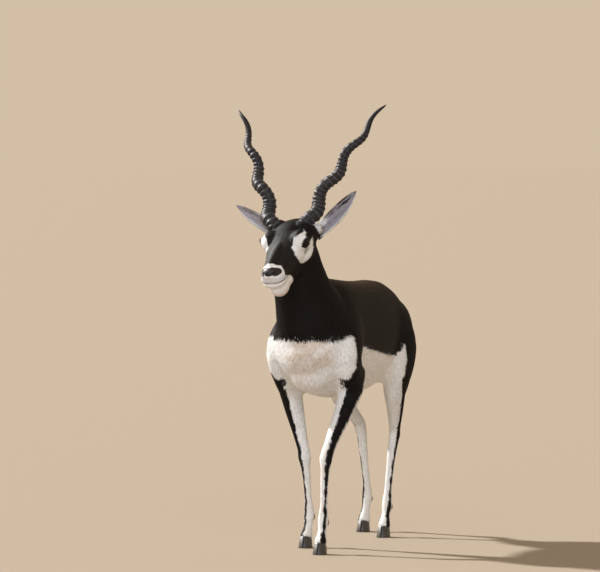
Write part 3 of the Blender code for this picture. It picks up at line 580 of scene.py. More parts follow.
def ear_colour(points, normals, side):
    """Grey hair with a pale rim and a few dark streaks inside the ear, dark brown behind; the rim is
    painted whiter along the lower edge as painted sunlight, and the right ear's inside is painted paler
    with fainter streaks as painted light.
    """
    root, along = np.array(ear_line(side, 0.0)), ear_way(side)
    share = (points - root) @ along / EAR_LENGTH
    facing = np.array(HEADING + HEAD_SIDE * side * 0.42 + Vector((0, 0, -0.10)))
    facing /= np.linalg.norm(facing)
    across = np.cross(along, facing)
    across *= 1 if across[2] > 0 else -1
    inside = smoothstep(0.0, 0.25, normals @ facing)
    width = (points - root) @ across
    count = 24
    bins = np.clip((share * count).astype(int), 0, count - 1)
    half = np.full(count, 0.002)
    np.maximum.at(half, bins, np.abs(width))
    reach = width / np.interp(share * count - 0.5, np.arange(count), half)
    drawn_out = np.stack([width, share * EAR_LENGTH * 0.20, width * 0], axis=1)
    strands = ripple(drawn_out, 0.0075, 12)
    streak = smoothstep(0.10, 0.55, strands) * smoothstep(0.32, 0.45, share)
    streak *= smoothstep(0.92, 0.80, share) * smoothstep(-0.50, -0.10, reach)
    # Painted light: the right ear's inside is painted paler and its streaks fainter than the left's.
    streak *= 1.0 if side > 0 else 0.30
    hair = np.repeat((EAR_GREY if side > 0 else EAR_GREY * 1.25)[None], len(points), axis=0)
    hair = hair * (1 + 0.22 * ripple(drawn_out, 0.004, 13))[:, None]
    hair = mixed(hair, BLACK * 3, 0.92 * streak)
    # A pale rim round the ear; the lower edge is painted whiter still, as painted sunlight on that edge.
    rim = 0.85 * np.maximum(smoothstep(-0.66, -0.88, reach), 0.5 * smoothstep(0.80, 0.95, reach))
    hair = mixed(hair, WHITE, rim)
    hair = mixed(hair, WHITE, smoothstep(0.36, 0.20, share) * smoothstep(-0.1, 0.35, reach))
    behind = np.repeat((BLACK * 2 + BROWN * 0.5)[None], len(points), axis=0)
    behind = mixed(behind, WHITE, np.maximum(0.85 * smoothstep(0.34, 0.22, share), rim))
    return mixed(behind, hair, inside)


# The skin

# Paths on the face in the head's own frame, with the radius and the depth of the fold there
FACE_FOLDS = {
    "over_lid": (((-0.030, 0.056, 0.014), (-0.015, 0.058, 0.019), (0.003, 0.053, 0.017),
                  (0.015, 0.047, 0.009)), 0.0050, 0.0009),
    "brow": (((-0.030, 0.046, 0.022), (-0.010, 0.048, 0.030), (0.014, 0.042, 0.027)), 0.010, -0.0015),
    "under_lid": (((-0.027, 0.061, -0.020), (-0.007, 0.058, -0.024), (0.011, 0.051, -0.020)),
                  0.0050, 0.0010),
    "tear_gland": (((0.016, 0.047, -0.006), (0.028, 0.043, -0.012), (0.039, 0.039, -0.019)),
                   0.0042, 0.0022),
    "gland_lip": (((0.030, 0.043, -0.016), (0.040, 0.040, -0.024)), 0.0060, -0.0010),
    "nose_side": (((0.095, 0.031, -0.018), (0.070, 0.034, -0.022), (0.050, 0.036, -0.026)),
                  0.012, 0.0014),
    "cheek": (((0.045, 0.036, -0.045), (0.015, 0.045, -0.050), (-0.010, 0.052, -0.040)), 0.012, 0.0016),
    "nostril": (((0.138, 0.0105, -0.009), (0.131, 0.016, -0.006), (0.123, 0.0205, -0.0065),
                 (0.116, 0.0235, -0.0095)), 0.0048, 0.0034),
    "nostril_wing": (((0.140, 0.012, -0.001), (0.131, 0.019, 0.001), (0.122, 0.0245, -0.001)),
                     0.0050, -0.0012),
}
MOUTH_FRONT = 0.085


def voxel_skin():
    """Every flesh node blended into one closed surface, so that no seam is left."""
    copies = [copy_of_node(name) for name in TRUNK_AND_HEAD + LEGS]
    for item in copies:
        in_edit_mode(item, lambda: bpy.ops.transform.shrink_fatten(value=NODE_OVERLAP))
    skin = joined(copies, "skin")
    apply_modifier(skin, "REMESH", mode="VOXEL", voxel_size=SKIN_VOXEL, use_smooth_shade=True)
    only(skin)
    bpy.ops.mesh.separate(type="LOOSE")
    shells = sorted(bpy.context.selected_objects, key=lambda item: len(item.data.vertices))
    skin = shells.pop()
    for scrap in shells:
        bpy.data.objects.remove(scrap, do_unlink=True)
    skin.name = skin.data.name = "skin"
    return skin


def head_share(points):
    """1 on the head, 0 on the neck."""
    return smoothstep(-0.004, 0.012, (points - np.array(POLL)) @ np.array(POLL_NORMAL))


def press(points, normals, path, radius, depth):
    """Push the surface in along a path on both sides of the head; a negative depth raises it."""
    for side in SIDES.values():
        places = [np.array(head_point(f, side * s, u)) for f, s, u in path]
        nearest = np.full(len(points), 1e9)
        for a, b in zip(places, places[1:]):
            edge = b - a
            t = np.clip((points - a) @ edge / (edge @ edge), 0, 1)
            nearest = np.minimum(nearest, np.linalg.norm(points - a - t[:, None] * edge, axis=1))
        points = points - normals * (depth * smoothstep(radius, 0, nearest))[:, None]
    return points


def shape_face(points, normals):
    """Folds round the eyes, tear glands, lips, nostril wings and the dips of the cheeks."""
    for path, radius, depth in FACE_FOLDS.values():
        points = press(points, normals, path, radius, depth)
    over, fade = mouth_height(points)
    fade = fade * (head_coordinates(points)[0] > MOUTH_FRONT)
    groove = 0.0017 * np.exp(-((over / 0.0017) ** 2)) - 0.0008 * np.exp(-(((over - 0.006) / 0.004) ** 2))
    return points - normals * (fade * groove)[:, None]


def clear_of_eyes(points):
    """Keep the lids just outside the eyeballs."""
    reach = EYE_RADIUS + EYE_CLEARANCE
    for side in SIDES.values():
        centre = np.array(eye_centre(side))
        distance = distance_to(points, centre)
        pushed = centre + (points - centre) / distance[:, None] * reach
        points = np.where((distance < reach)[:, None], pushed, points)
    return points


def soften_folds(skin, points):
    """Blend the tops of the hind legs into the flank and the buttock."""
    spots = from_withers(points)
    weight = smoothstep(0.36, 0.40, spots[:, 2]) * smoothstep(0.54, 0.49, spots[:, 2])
    weight *= smoothstep(0.18, 0.24, spots[:, 1])
    group = skin.vertex_groups.new(name="folds")
    for tenth in range(1, 11):
        group.add(np.flatnonzero(np.round(weight * 10) == tenth).tolist(), tenth / 10, "REPLACE")
    apply_modifier(skin, "SMOOTH", factor=0.5, iterations=150, vertex_group="folds")
    skin.vertex_groups.clear()


def build_skin():
    """The smoothed flesh, sunk by the coat's depth, with the folds of the face."""
    skin = voxel_skin()
    points, edges = points_of(skin), edges_of(skin)
    head = head_share(points)
    gap = lid_gap(points)
    to_eye = np.minimum(distance_to(points, eye_centre(1)), distance_to(points, eye_centre(-1)))
    near_eye = smoothstep(0.010, 0.003, gap) * (to_eye < 2 * EYE_RADIUS)
    round_eye = smoothstep(0.003, 0.008, gap) * smoothstep(0.036, 0.024, gap)
    points = relaxed(points, edges, 0.5 * (1 - head), 45)
    points = relaxed(points, edges, (0.35 - 0.30 * near_eye) * head, 5)
    points = clear_of_eyes(relaxed(points, edges, 0.5 * round_eye * head, 22))
    move_points(skin, points)
    soften_folds(skin, points)
    points, normals = points_of(skin), normals_of(skin)
    depth = np.interp(from_withers(points)[:, 2], (0.0, 0.20, 0.42), (0.0006, 0.0009, BODY_COAT_DEPTH))
    on_head = head > 0.5
    depth = np.where(on_head, HEAD_COAT_DEPTH * (1 - near_eye) * (nose_pad(points) < -0.002), depth)
    points = points - normals * depth[:, None]
    points = np.where(on_head[:, None], shape_face(points, normals), points)
    move_points(skin, points)
    thin_out_body(skin)
    return skin


def thin_out_body(skin):
    """Fewer, wider faces behind the head, so that the skin stays one light piece."""
    triangles = len(skin.data.polygons) * 2
    fine = head_share(points_of(skin)) > 0.5
    coarse = ~fine[corners_of(skin).reshape(-1, 4)].any(axis=1)
    skin.data.polygons.foreach_set("select", coarse)
    kept = 2 * (~coarse).sum()
    only(skin)
    bpy.ops.object.mode_set(mode="EDIT")
    bpy.ops.mesh.select_mode(type="FACE")
    bpy.ops.mesh.decimate(ratio=(SKIN_TRIANGLES - kept) / (triangles - kept))
    bpy.ops.object.mode_set(mode="OBJECT")


def build_ear(name):
    """An ear with a fine edge, its root sunk into the head."""
    side = side_of(name)
    item = copy_of_node(name)
    apply_modifier(item, "SUBSURF", levels=2, render_levels=2)
    points, along = points_of(item), ear_way(side)
    reach = (points - np.array(ear_line(side, 0.0))) @ along
    reach -= reach.min()
    move_points(item, points - along * (EAR_SINK * smoothstep(0.010, 0.001, reach))[:, None])
    item.name = name + "_skin"
    return item


def part_numbers(points):
    """Which body part each point of the skin belongs to."""
    corners, faces, owner = [], [], []
    start = 0
    for number, name in enumerate(PARTS):
        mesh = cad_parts[name].data
        corners += [tuple(v.co) for v in mesh.vertices]
        faces += [tuple(start + i for i in p.vertices) for p in mesh.polygons]
        owner += [number] * len(mesh.polygons)
        start += len(mesh.vertices)
    tree = BVHTree.FromPolygons(corners, faces)
    return np.array([owner[tree.find_nearest(p)[2]] for p in points.tolist()])


def lie_of_coat(points, normals, part, edges):
    """The way the hair lies: back along the trunk, down the legs and up the face."""
    ways = {
        "torso": (0, 1, -0.28), "neck": (0, 0.42, -0.91), "tail": (0, 0.30, -1),
        "head": -HEAD_FORWARD - HEAD_UP * 0.20,
    }
    ways.update((name, ear_way(side_of(name))) for name in EARS)
    lie = np.zeros_like(points)
    for number, name in enumerate(PARTS):
        way = np.array(ways.get(name, (0, 0.14, -1)), dtype=float)
        lie[part == number] = way / np.linalg.norm(way)
    spots = from_withers(points)
    chest = smoothstep(-0.06, -0.15, spots[:, 1]) * (part == TORSO)
    thigh = smoothstep(0.30, 0.42, spots[:, 1]) * (part == TORSO) * smoothstep(0.70, 0.58, spots[:, 2])
    nape = smoothstep(-0.03, -0.11, head_coordinates(points)[0]) * (part == HEAD)
    for way, weight in (((0, 0.45, -0.89), chest), ((0, 0.55, -0.83), thigh), ((0, 0.42, -0.91), nape)):
        lie = lie + (np.array(way) - lie) * weight[:, None]
    lie = relaxed(lie, edges, np.full(len(points), 0.6), 25)
    return unit(lie - normals * (lie * normals).sum(axis=1)[:, None])


def gloss_of_face(points):
    """1 on the glossy front of the face, 0 elsewhere."""
    forward, side, up = head_coordinates(points)
    return smoothstep(-0.03, 0.03, forward) * smoothstep(-0.050, -0.030, up) * (forward < 0.16)


# Tufts

def scatter(points, triangles, density):
    """Even random places over triangles: three corner weights and the triangle of each."""
    a, b, c = (points[triangles[:, k]] for k in range(3))
    area = np.linalg.norm(np.cross(b - a, c - a), axis=1) / 2
    reach = np.cumsum(area * density[triangles].mean(axis=1))
    count = int(reach[-1])
    targets = (np.arange(count) + draw.uniform(0, 1, count)) * reach[-1] / count
    chosen = np.minimum(np.searchsorted(reach, targets), len(triangles) - 1)
    r, s = np.sqrt(draw.uniform(0, 1, count)), draw.uniform(0, 1, count)
    weights = np.stack([1 - r, r * (1 - s), r * s], axis=1)
    return chosen, weights


TUFT_FACES = np.array([(0, 1, 4), (0, 4, 2), (1, 3, 4), (2, 4, 5), (4, 3, 5)])
TUFT_ACROSS = np.array([-0.7, 0.7, -1.0, 1.0, 0.0, 0.0])
TUFT_ALONG = np.array([0.0, 0.0, 0.45, 0.45, 0.40, 1.0])
# Colour scale of each tuft's six points: painted shade at the sunk root, painted light towards the tip.
TUFT_PAINTED_SHADING = np.array([0.72, 0.72, 0.92, 0.92, 1.04, 1.10])


def tuft_mesh(name, tufts, place):
    """One joined mesh of flat tapered tufts, each a ridge of six points that ends in a tip."""
    root, normal, lie = tufts["root"], tufts["normal"], tufts["way"]
    length, width, lift = (tufts[key][:, None] for key in ("length", "width", "lift"))
    count = len(root)
    turn = draw.normal(0, 0.16, count)[:, None]
    lie = unit(lie + np.cross(normal, lie) * turn)
    side = np.cross(normal, lie)
    low = root - normal * TUFT_ROOT_DEPTH
    middle = root + lie * length * 0.45 + normal * lift * 0.45
    corners = np.stack([
        low - side * width * 0.35,
        low + side * width * 0.35,
        middle - side * width * 0.5,
        middle + side * width * 0.5,
        root + lie * length * 0.40 + normal * (lift * 0.45 + width * 0.20),
        root + lie * length + side * width * turn + normal * lift,
    ], axis=1)
    faces = (np.arange(count) * 6)[:, None, None] + TUFT_FACES[None]
    mesh = bpy.data.meshes.new(name)
    mesh.from_pydata(corners.reshape(-1, 3), [], faces.reshape(-1, 3))
    mesh.shade_smooth()
    item = bpy.data.objects.new(name, mesh)
    bpy.context.scene.collection.objects.link(item)
    # Tuft colours with painted shade at the roots and painted light at the tips.
    paint(item, (tufts["colour"][:, None, :] * TUFT_PAINTED_SHADING[None, :, None]).reshape(-1, 3))
    add_layer(item, "gloss", gloss_of_face(corners.reshape(-1, 3)))
    hair = np.empty((count, 6, 3))
    hair[:, :, 0] = TUFT_ACROSS
    hair[:, :, 1] = TUFT_ALONG
    hair[:, :, 2] = draw.uniform(0, 50, count)[:, None]
    add_layer(item, "hair", hair)
    uv = mesh.uv_layers.new(name="OFBake")
    patch = np.stack([TUFT_ACROSS / 2, TUFT_ALONG - 0.5], axis=1) * BAKE_PATCH
    spread = np.clip(place[:, None, :], 0.002, 0.998) + patch[None]
    uv.data.foreach_set("uv", spread[:, TUFT_FACES.ravel()].astype(np.float32).ravel())
    return item


def lashes(side):
    """The lashes along the upper lid, as tufts."""
    out, along, above = lid_axes(side)
    above = above * (1 if above[2] > 0 else -1)
    turn = np.radians(np.linspace(18, 158, LASHES_A_LID) + draw.normal(0, 1.5, LASHES_A_LID))
    flat = np.cos(turn)[:, None] * along * (LID_HALF_LENGTH + LASH_WIDTH)
    flat = flat + np.sin(turn)[:, None] * above * (LID_HALF_HEIGHT + LASH_WIDTH)
    rise = np.sqrt(np.maximum((EYE_RADIUS + 0.0022) ** 2 - (flat**2).sum(axis=1), 0))
    way = unit(out + above * 0.35 + np.cos(turn)[:, None] * along * 0.5)
    return {
        "root": np.array(eye_centre(side)) + flat + out * rise[:, None],
        "normal": unit(above - way * (way @ above)[:, None]),
        "way": way,
        "part": np.full(LASHES_A_LID, HEAD),
        "length": draw.uniform(0.006, 0.009, LASHES_A_LID),
        "width": np.full(LASHES_A_LID, LASH_WIDTH),
        "lift": np.full(LASHES_A_LID, 0.001),
        "colour": np.repeat(BLACK[None], LASHES_A_LID, axis=0),
    }


def unwrap(points, centre, axis, front):
    """Turn and height round an axis, each from 0 to 1: the body part rolled out flat."""
    axis, front = unit(np.array([axis, front], dtype=float))
    front = front - axis * (front @ axis)
    front /= np.linalg.norm(front)
    away = points - np.array(centre)
    turn = np.arctan2(away @ np.cross(axis, front), away @ front) / (2 * math.pi) + 0.5
    height = away @ axis
    return np.stack([turn, (height - height.min()) / max(np.ptp(height), 1e-6)], axis=1)


def unwrapped(name, points):
    """Places of points on their body part rolled out flat; a piece of the torso fills it."""
    if name in LEGS:
        outward, front = leg_place(name, from_withers(points))
        flat = np.stack([outward * side_of(name), -front, points[:, 2]], axis=1)
        return unwrap(flat, (0, 0, 0), (0, 0, 1), (0, -1, 0))
    if name == "head":
        return unwrap(points, head_point(0, 0, -0.02), HEAD_FORWARD, HEAD_UP)
    if name in EARS:
        return unwrap(points, ear_line(side_of(name), 0.5), ear_way(side_of(name)), HEADING)
    centre = (points.max(axis=0) + points.min(axis=0)) / 2
    if name.startswith("torso"):
        place = unwrap(points, centre, (0, 1, 0), (0, 0, 1))
        place[:, 0] = (place[:, 0] - place[:, 0].min()) / max(np.ptp(place[:, 0]), 1e-6)
        return place
    return unwrap(points, centre, {"neck": (0, -0.42, 0.91), "tail": (0, 0.3, -1)}[name], (0, -1, 0))


def coat_sizes(points, part):
    """Length, width, lift and number a square metre of the tufts at each point."""
    spots = from_withers(points)
    forward = head_coordinates(points)[0]
    level = np.zeros(len(points))
    kinds = dict.fromkeys(PARTS, (BODY_TUFTS, level))
    kinds["head"] = HEAD_TUFTS, smoothstep(0.06, -0.10, forward)
    kinds["tail"] = TAIL_TUFTS, smoothstep(0.64, 0.56, spots[:, 2])
    kinds.update(dict.fromkeys(LEGS, (LEG_TUFTS, smoothstep(0.08, 0.46, spots[:, 2]))))
    kinds.update(dict.fromkeys(EARS, (EAR_TUFTS, level)))
    sizes = np.empty((len(points), 4))
    for number, (tufts, share) in enumerate(kinds.values()):
        own = part == number
        fine, coarse = np.array(tufts)
        sizes[own] = fine + (coarse - fine) * share[own, None]
    length, width, lift, number = sizes.T
    near_ear = np.minimum(*(distance_to(points, ear_line(side, 0.05)) for side in SIDES.values()))
    beside_ear = (near_ear < EAR_ROOT_REACH) & (part <= HEAD)
    length[beside_ear] = TUFT_LENGTH_BESIDE_EAR
    lift[beside_ear] *= 0.7
    over, fade = mouth_height(points)
    bare = (nose_pad(points) > -0.0012) | (lid_gap(points) < LID_WITHOUT_HAIR)
    bare |= (np.abs(over) < 0.0016) & (fade > 0.5) & (forward > MOUTH_FRONT)
    number[(part == HEAD) & bare] = 0
    chest = smoothstep(-0.06, -0.12, spots[:, 1]) * smoothstep(0.68, 0.62, spots[:, 2]) * (part <= NECK)
    length += 0.0025 * chest
    lift += 0.0003 * chest
    return length, width, lift, number


def tufts_over(item, points, normals, lie, part):
    """The roots, ways, sizes and colours of all tufts over the finished skin."""
    triangles = triangles_of(item)
    length, width, lift, number = coat_sizes(points, part)
    chosen, weights = scatter(points, triangles, number)
    corners = triangles[chosen]

    def blended(values):
        return np.einsum("ij...,ij->i...", values[corners], weights)

    def varied(values, low, high):
        return values * draw.uniform(low, high, len(values))

    root, normal, way = blended(points), unit(blended(normals)), blended(lie)
    way = unit(way - normal * (way * normal).sum(axis=1)[:, None])
    part = part[corners[:, 0]]
    length = varied(blended(length), 0.75, 1.20)
    width = varied(blended(width), 0.75, 1.25)
    lift = varied(blended(lift), 0.5, 1.6)
    marked = root + way * (draw.normal(0, 0.12, len(root)) * length)[:, None]
    colour = coat_colour(marked, normal, part) * draw.uniform(0.80, 1.12, len(root))[:, None]
    tufts = {"root": root, "normal": normal, "way": way, "part": part, "length": length,
             "width": width, "lift": lift, "colour": colour}
    for side in SIDES.values():
        lash = lashes(side)
        tufts = {key: np.concatenate([tufts[key], lash[key]]) for key in tufts}
    return tufts


def coat_over(item, points, normals, lie, part):
    """All coat pieces over the finished skin: one a body part, and four on the torso."""
    tufts = tufts_over(item, points, normals, lie, part)
    groups = {name: tufts["part"] == number for number, name in enumerate(PARTS)}
    torso = groups.pop("torso")
    left, fore = tufts["root"][:, 0] > WITHERS.x, tufts["root"][:, 1] < WITHERS.y + TORSO_SPLIT
    for side, on_side in (("left", left), ("right", ~left)):
        groups[f"torso_{side}_fore"] = torso & on_side & fore
        groups[f"torso_{side}_hind"] = torso & on_side & ~fore
    pieces = []
    for name, mine in groups.items():
        own = {key: values[mine] for key, values in tufts.items()}
        pieces.append(tuft_mesh("coat_" + name, own, unwrapped(name, own["root"])))
    return pieces


# Horns, eyes and feet

def horn_centre(side, share):
    """A point on the horn's corkscrew centre line, from its root at 0 to its tip at 1."""
    root = head_point(-HORN_ROOT_BACK, side * HORN_ROOT_OUT[side], HORN_ROOT_UP)
    outward, back, up = HORN_LEAN
    along = (HEAD_SIDE * side * outward - HEADING * back + CROWN * up).normalized()
    out = HEAD_SIDE * side
    out = (out - out.dot(along) * along).normalized()
    behind = along.cross(out) * side
    angle = 2 * math.pi * HORN_TURNS * (share - HORN_FIRST_OUTWARD)
    swing = HORN_SPIRAL_RADIUS * min(1.0, share / 0.10) * (1.0 - 0.45 * share)
    bow = HORN_BOWS[side] * math.sin(math.pi * share)
    centre = root + along * (HORN_LENGTHS[side] + HORN_SUNK_LENGTH) * share
    return centre + out * (swing * math.cos(angle) + bow) + behind * swing * math.sin(angle)


def ring_profile(share):
    """Height of the rings at a place along the horn: rounded crests with narrow valleys."""
    place = share / HORN_RINGED_SHARE * HORN_RINGS
    number = math.floor(place)
    phase = place - number
    fade = min(1.0, 0.35 + 1.6 * (HORN_RINGS - number) / HORN_RINGS) if number < HORN_RINGS else 0
    uneven = 0.85 + 0.30 * math.sin(number * 2.4) ** 2
    crest = math.exp(-(((phase - 0.60) / 0.21) ** 2)) + 0.25 * math.exp(-(((phase - 0.12) / 0.10) ** 2))
    return RING_HEIGHT * fade * uneven * crest


def build_horn(name, side):
    """A ringed horn, drawn round its corkscrew line from a flat grid."""
    bpy.ops.object.select_all(action="DESELECT")
    bpy.ops.mesh.primitive_grid_add(x_subdivisions=HORN_ROUNDS, y_subdivisions=HORN_STEPS, size=1.0)
    item = bpy.context.object
    item.name = item.data.name = name + "_horn"
    flat = points_of(item) + 0.5
    turns = flat[:, 0] * 2 * math.pi
    rows = np.round(flat[:, 1] * HORN_STEPS).astype(int)
    rings = []
    for row in range(HORN_STEPS + 1):
        share = min(max(row - 1, 0) / (HORN_STEPS - 2), 1.0)
        along = horn_centre(side, min(share + 0.004, 1.0)) - horn_centre(side, max(share - 0.004, 0))
        along.normalize()
        fore = (-HEADING + HEADING.dot(along) * along).normalized()
        radius = max(HORN_BASE_RADIUS * (1.0 - share) ** HORN_TAPER + 0.0002, HORN_TIP_RADIUS)
        radius += ring_profile(share) - RING_VALLEY * (share < HORN_RINGED_SHARE)
        if row in (0, HORN_STEPS):
            radius = 0.0
        rings.append((*horn_centre(side, share), *fore, *along.cross(fore), radius))
    rings = np.array(rings)[rows]
    wobble = 1 + 0.012 * np.sin(3 * turns + rings[:, 2] * 40)
    out = (np.cos(turns) * wobble)[:, None] * rings[:, 3:6]
    out += (np.sin(turns) * wobble)[:, None] * rings[:, 6:9]
    move_points(item, rings[:, :3] + out * rings[:, 9:10])
    in_edit_mode(item, lambda: bpy.ops.mesh.remove_doubles(threshold=0.00002),
                 lambda: bpy.ops.mesh.normals_make_consistent(inside=False))
    item.data.shade_smooth()
    shares = np.linspace(0, 1, 600)
    line = np.array([horn_centre(side, s) for s in shares])
    heights = np.array([ring_profile(s) for s in shares]) / RING_HEIGHT
    blocks = np.array_split(points_of(item), 8)
    nearest = [np.linalg.norm(block[:, None] - line[None], axis=2).argmin(axis=1) for block in blocks]
    add_layer(item, "crest", heights[np.concatenate(nearest)])
    return item


def build_eye(name, side):
    """A dark eyeball with a bulging cornea."""
    out = eye_outward(side)
    up = (HEAD_UP - HEAD_UP.dot(out) * out).normalized()
    turn = Matrix((up.cross(out), up, out)).transposed()
    bpy.ops.object.select_all(action="DESELECT")
    bpy.ops.mesh.primitive_uv_sphere_add(segments=56, ring_count=36, radius=EYE_RADIUS)
    item = bpy.context.object
    item.name = item.data.name = name + "_ball"
    points = points_of(item)
    add_layer(item, "gaze", points / EYE_RADIUS)
    bulge = CORNEA_BULGE * smoothstep(0.62, 0.95, points[:, 2] / EYE_RADIUS)
    points = points * (1 + bulge)[:, None]
    move_points(item, points @ np.array(turn).T + np.array(eye_centre(side)))
    item.data.shade_smooth()
    return item


def rounded_claws(names, name, width):
    """The claws of the feet with rounded edges, joined as one piece."""
    copies = []
    for node in names:
        item = copy_of_node(node)
        in_edit_mode(item, lambda: bpy.ops.mesh.dissolve_limited(angle_limit=CLAW_FLAT_ANGLE))
        apply_modifier(item, "BEVEL", width=width, segments=3, limit_method="ANGLE",
                       angle_limit=CLAW_BEVEL_ANGLE)
        copies.append(item)
    claws = joined(copies, name)
    only(claws)
    bpy.ops.object.shade_smooth_by_angle(angle=CLAW_SMOOTH_ANGLE)
    return claws


# Materials

def new_material(name, roughness, specular=0.5, film=0.0, film_roughness=0.03):
    """A material and its shader's inputs; the film is a clear wet layer on top."""
    mat = bpy.data.materials.new(name)
    mat.use_nodes = True
    shader = mat.node_tree.nodes["Principled BSDF"].inputs
    shader["Roughness"].default_value = roughness
    shader["Specular IOR Level"].default_value = specular
    shader["Coat Weight"].default_value = film
    shader["Coat Roughness"].default_value = film_roughness
    return mat, shader


def put(value, socket):
    """Link an output to a socket, or set the socket to a plain value."""
    if isinstance(value, bpy.types.NodeSocket):
        socket.id_data.links.new(value, socket)
    else:
        socket.default_value = value


def node(mat, kind, *values, **named):
    """A new node with its settings, and its inputs in order or by name."""
    made = mat.node_tree.nodes.new("ShaderNode" + kind)
    for key, value in named.items():
        if key in made.inputs:
            put(value, made.inputs[key])
        else:
            setattr(made, key, value)
    for value, socket in zip(values, made.inputs):
        put(value, socket)
    return made


def attribute(mat, name, output="Fac"):
    return node(mat, "Attribute", attribute_name=name).outputs[output]


def object_place(mat):
    return node(mat, "TexCoord").outputs["Object"]


def stretched(mat, place, scale):
    return node(mat, "Mapping", Vector=place, Scale=scale).outputs["Vector"]


def noise(mat, place, scale, detail):
    return node(mat, "TexNoise", Vector=place, Scale=scale, Detail=detail).outputs["Fac"]


def ranged(mat, value, low, high):
    """A value between 0 and 1 made to run from low to high."""
    made = node(mat, "MapRange", Value=value)
    made.inputs["To Min"].default_value = low
    made.inputs["To Max"].default_value = high
    return made.outputs["Result"]


def toned(mat, colour, value, low, high):
    """A colour darkened and lightened by a value between 0 and 1."""
    mix = node(mat, "Mix", data_type="RGBA", blend_type="MULTIPLY", Factor=1.0, A=colour,
               B=ranged(mat, value, low, high))
    return mix.outputs["Result"]


def colour_ramp(mat, value, *stops):
    """Colours along a value, from stops of a place and a colour each."""
    made = node(mat, "ValToRGB", value)
    elements = made.color_ramp.elements
    for number, (place, colour) in enumerate(stops):
        stop = elements[number] if number < len(elements) else elements.new(place)
        stop.position = place
        stop.color = (*colour, 1)
    return made.outputs["Color"]


def bump(mat, shader, height, distance, strength):
    made = node(mat, "Bump", Height=height, Distance=distance, Strength=strength)
    put(made.outputs["Normal"], shader["Normal"])


def coat_material():
    """Hair of a tuft: colour from its root, fine strands across it."""
    mat, shader = new_material("short_coat", 0.58, 0.14)
    strands = noise(mat, stretched(mat, attribute(mat, "hair", "Vector"), (2.6, 0.5, 1.0)), 2.2, 2.0)
    put(toned(mat, attribute(mat, "coat", "Color"), strands, 0.70, 1.25), shader["Base Color"])
    gloss = attribute(mat, "gloss")
    put(ranged(mat, gloss, 0.12, 0.26), shader["Specular IOR Level"])
    put(ranged(mat, gloss, 0.58, 0.50), shader["Roughness"])
    bump(mat, shader, strands, 0.0006, 0.6)
    return mat


def skin_material():
    """The skin under the tufts, with a fine lying nap."""
    mat, shader = new_material("skin_nap", 0.62, 0.12)
    strands = noise(mat, stretched(mat, attribute(mat, "nap", "Vector"), (90, 900, 900)), 1.0, 3.0)
    put(toned(mat, attribute(mat, "coat", "Color"), strands, 0.72, 1.18), shader["Base Color"])
    bump(mat, shader, strands, 0.0008, 0.5)
    return mat


def bare_skin_material():
    """Moist black skin of the nose pad and the lids' rims, finely pebbled, with painted shade in the
    grooves between the pebbles.
    """
    mat, shader = new_material("bare_skin", 0.40, 0.28, film=0.10, film_roughness=0.3)
    pebbles = node(mat, "TexVoronoi", Vector=object_place(mat), Scale=620.0).outputs["Distance"]
    # Painted shade: each pebble is coloured darker towards the grooves at its edge.
    colour = colour_ramp(mat, pebbles, (0.0, (0.017, 0.015, 0.016)), (1.0, (0.008, 0.007, 0.008)))
    put(colour, shader["Base Color"])
    bump(mat, shader, ranged(mat, pebbles, 1, 0), 0.0006, 0.6)
    return mat


def horn_material():
    """Dark keratin, paler on the crests of the rings, with fine lengthwise lines."""
    mat, shader = new_material("ringed_horn", 0.42, 0.32)
    place = object_place(mat)
    lines = noise(mat, stretched(mat, place, (700, 700, 60)), 1.0, 5.0)
    patches = noise(mat, place, 45.0, 4.0)
    # Paler colour on the crests of the rings, in patches.
    crest_paling = node(mat, "Math", attribute(mat, "crest"), patches, operation="MULTIPLY")
    crest_toned = colour_ramp(mat, crest_paling.outputs["Value"], (0.0, (0.006, 0.005, 0.007)),
                       (0.80, (0.060, 0.056, 0.064)))
    put(toned(mat, crest_toned, lines, 0.6, 1.3), shader["Base Color"])
    put(ranged(mat, patches, 0.38, 0.60), shader["Roughness"])
    bump(mat, shader, lines, 0.0006, 0.5)
    return mat


def hoof_material():
    """Dark hoof horn with fine growth lines round it."""
    mat, shader = new_material("hoof_keratin", 0.40)
    growth = noise(mat, stretched(mat, object_place(mat), (60, 60, 520)), 1.0, 4.0)
    colour = colour_ramp(mat, growth, (0.0, (0.010, 0.009, 0.008)), (1.0, (0.055, 0.046, 0.038)))
    put(colour, shader["Base Color"])
    bump(mat, shader, growth, 0.0008, 0.5)
    return mat


def eye_material():
    """Dark brown iris, a long level pupil and a wet clear film."""
    mat, shader = new_material("wet_eye", 0.25, 0.0, film=0.5)
    oval = stretched(mat, attribute(mat, "gaze", "Vector"), (1.35, 2.3, 0.0))
    pupil = node(mat, "VectorMath", oval, operation="LENGTH").outputs["Value"]
    half = node(mat, "Math", pupil, 0.5, operation="MULTIPLY").outputs["Value"]
    colour = colour_ramp(mat, half, (0.42, (0.0015, 0.001, 0.001)), (0.50, (0.020, 0.008, 0.004)),
                         (0.95, (0.005, 0.003, 0.002)))
    put(colour, shader["Base Color"])
    return mat


# Assembly

def nap_places(points, lie, part):
    """Points in a frame whose first axis runs with the hair, for the skin's fine nap."""
    out = np.empty_like(points)
    for number in range(len(PARTS)):
        own = part == number
        if not own.any():
            continue
        way = lie[own].mean(axis=0)
        way = Vector(way / max(np.linalg.norm(way), 1e-6))
        side = way.orthogonal().normalized()
        out[own] = points[own] @ np.array((way, side, way.cross(side))).T
    return out


def finish_skin(skin, points, normals, lie, part):
    """Colours and nap of the skin, and bare skin on the nose pad and the lids' rims."""
    paint(skin, coat_colour(points, normals, part))
    add_layer(skin, "nap", nap_places(points, lie, part))
    skin.data.materials.append(skin_material())
    skin.data.materials.append(bare_skin_material())
    bare = ((nose_pad(points) > 0) | (lid_gap(points) < LID_RIM)) & (part == HEAD)
    first = corners_of(skin)[numbers_of(skin.data.polygons, "loop_start", kind=np.int64)]
    skin.data.polygons.foreach_set("material_index", bare[first].astype(np.int32))
    skin.data.shade_smooth()


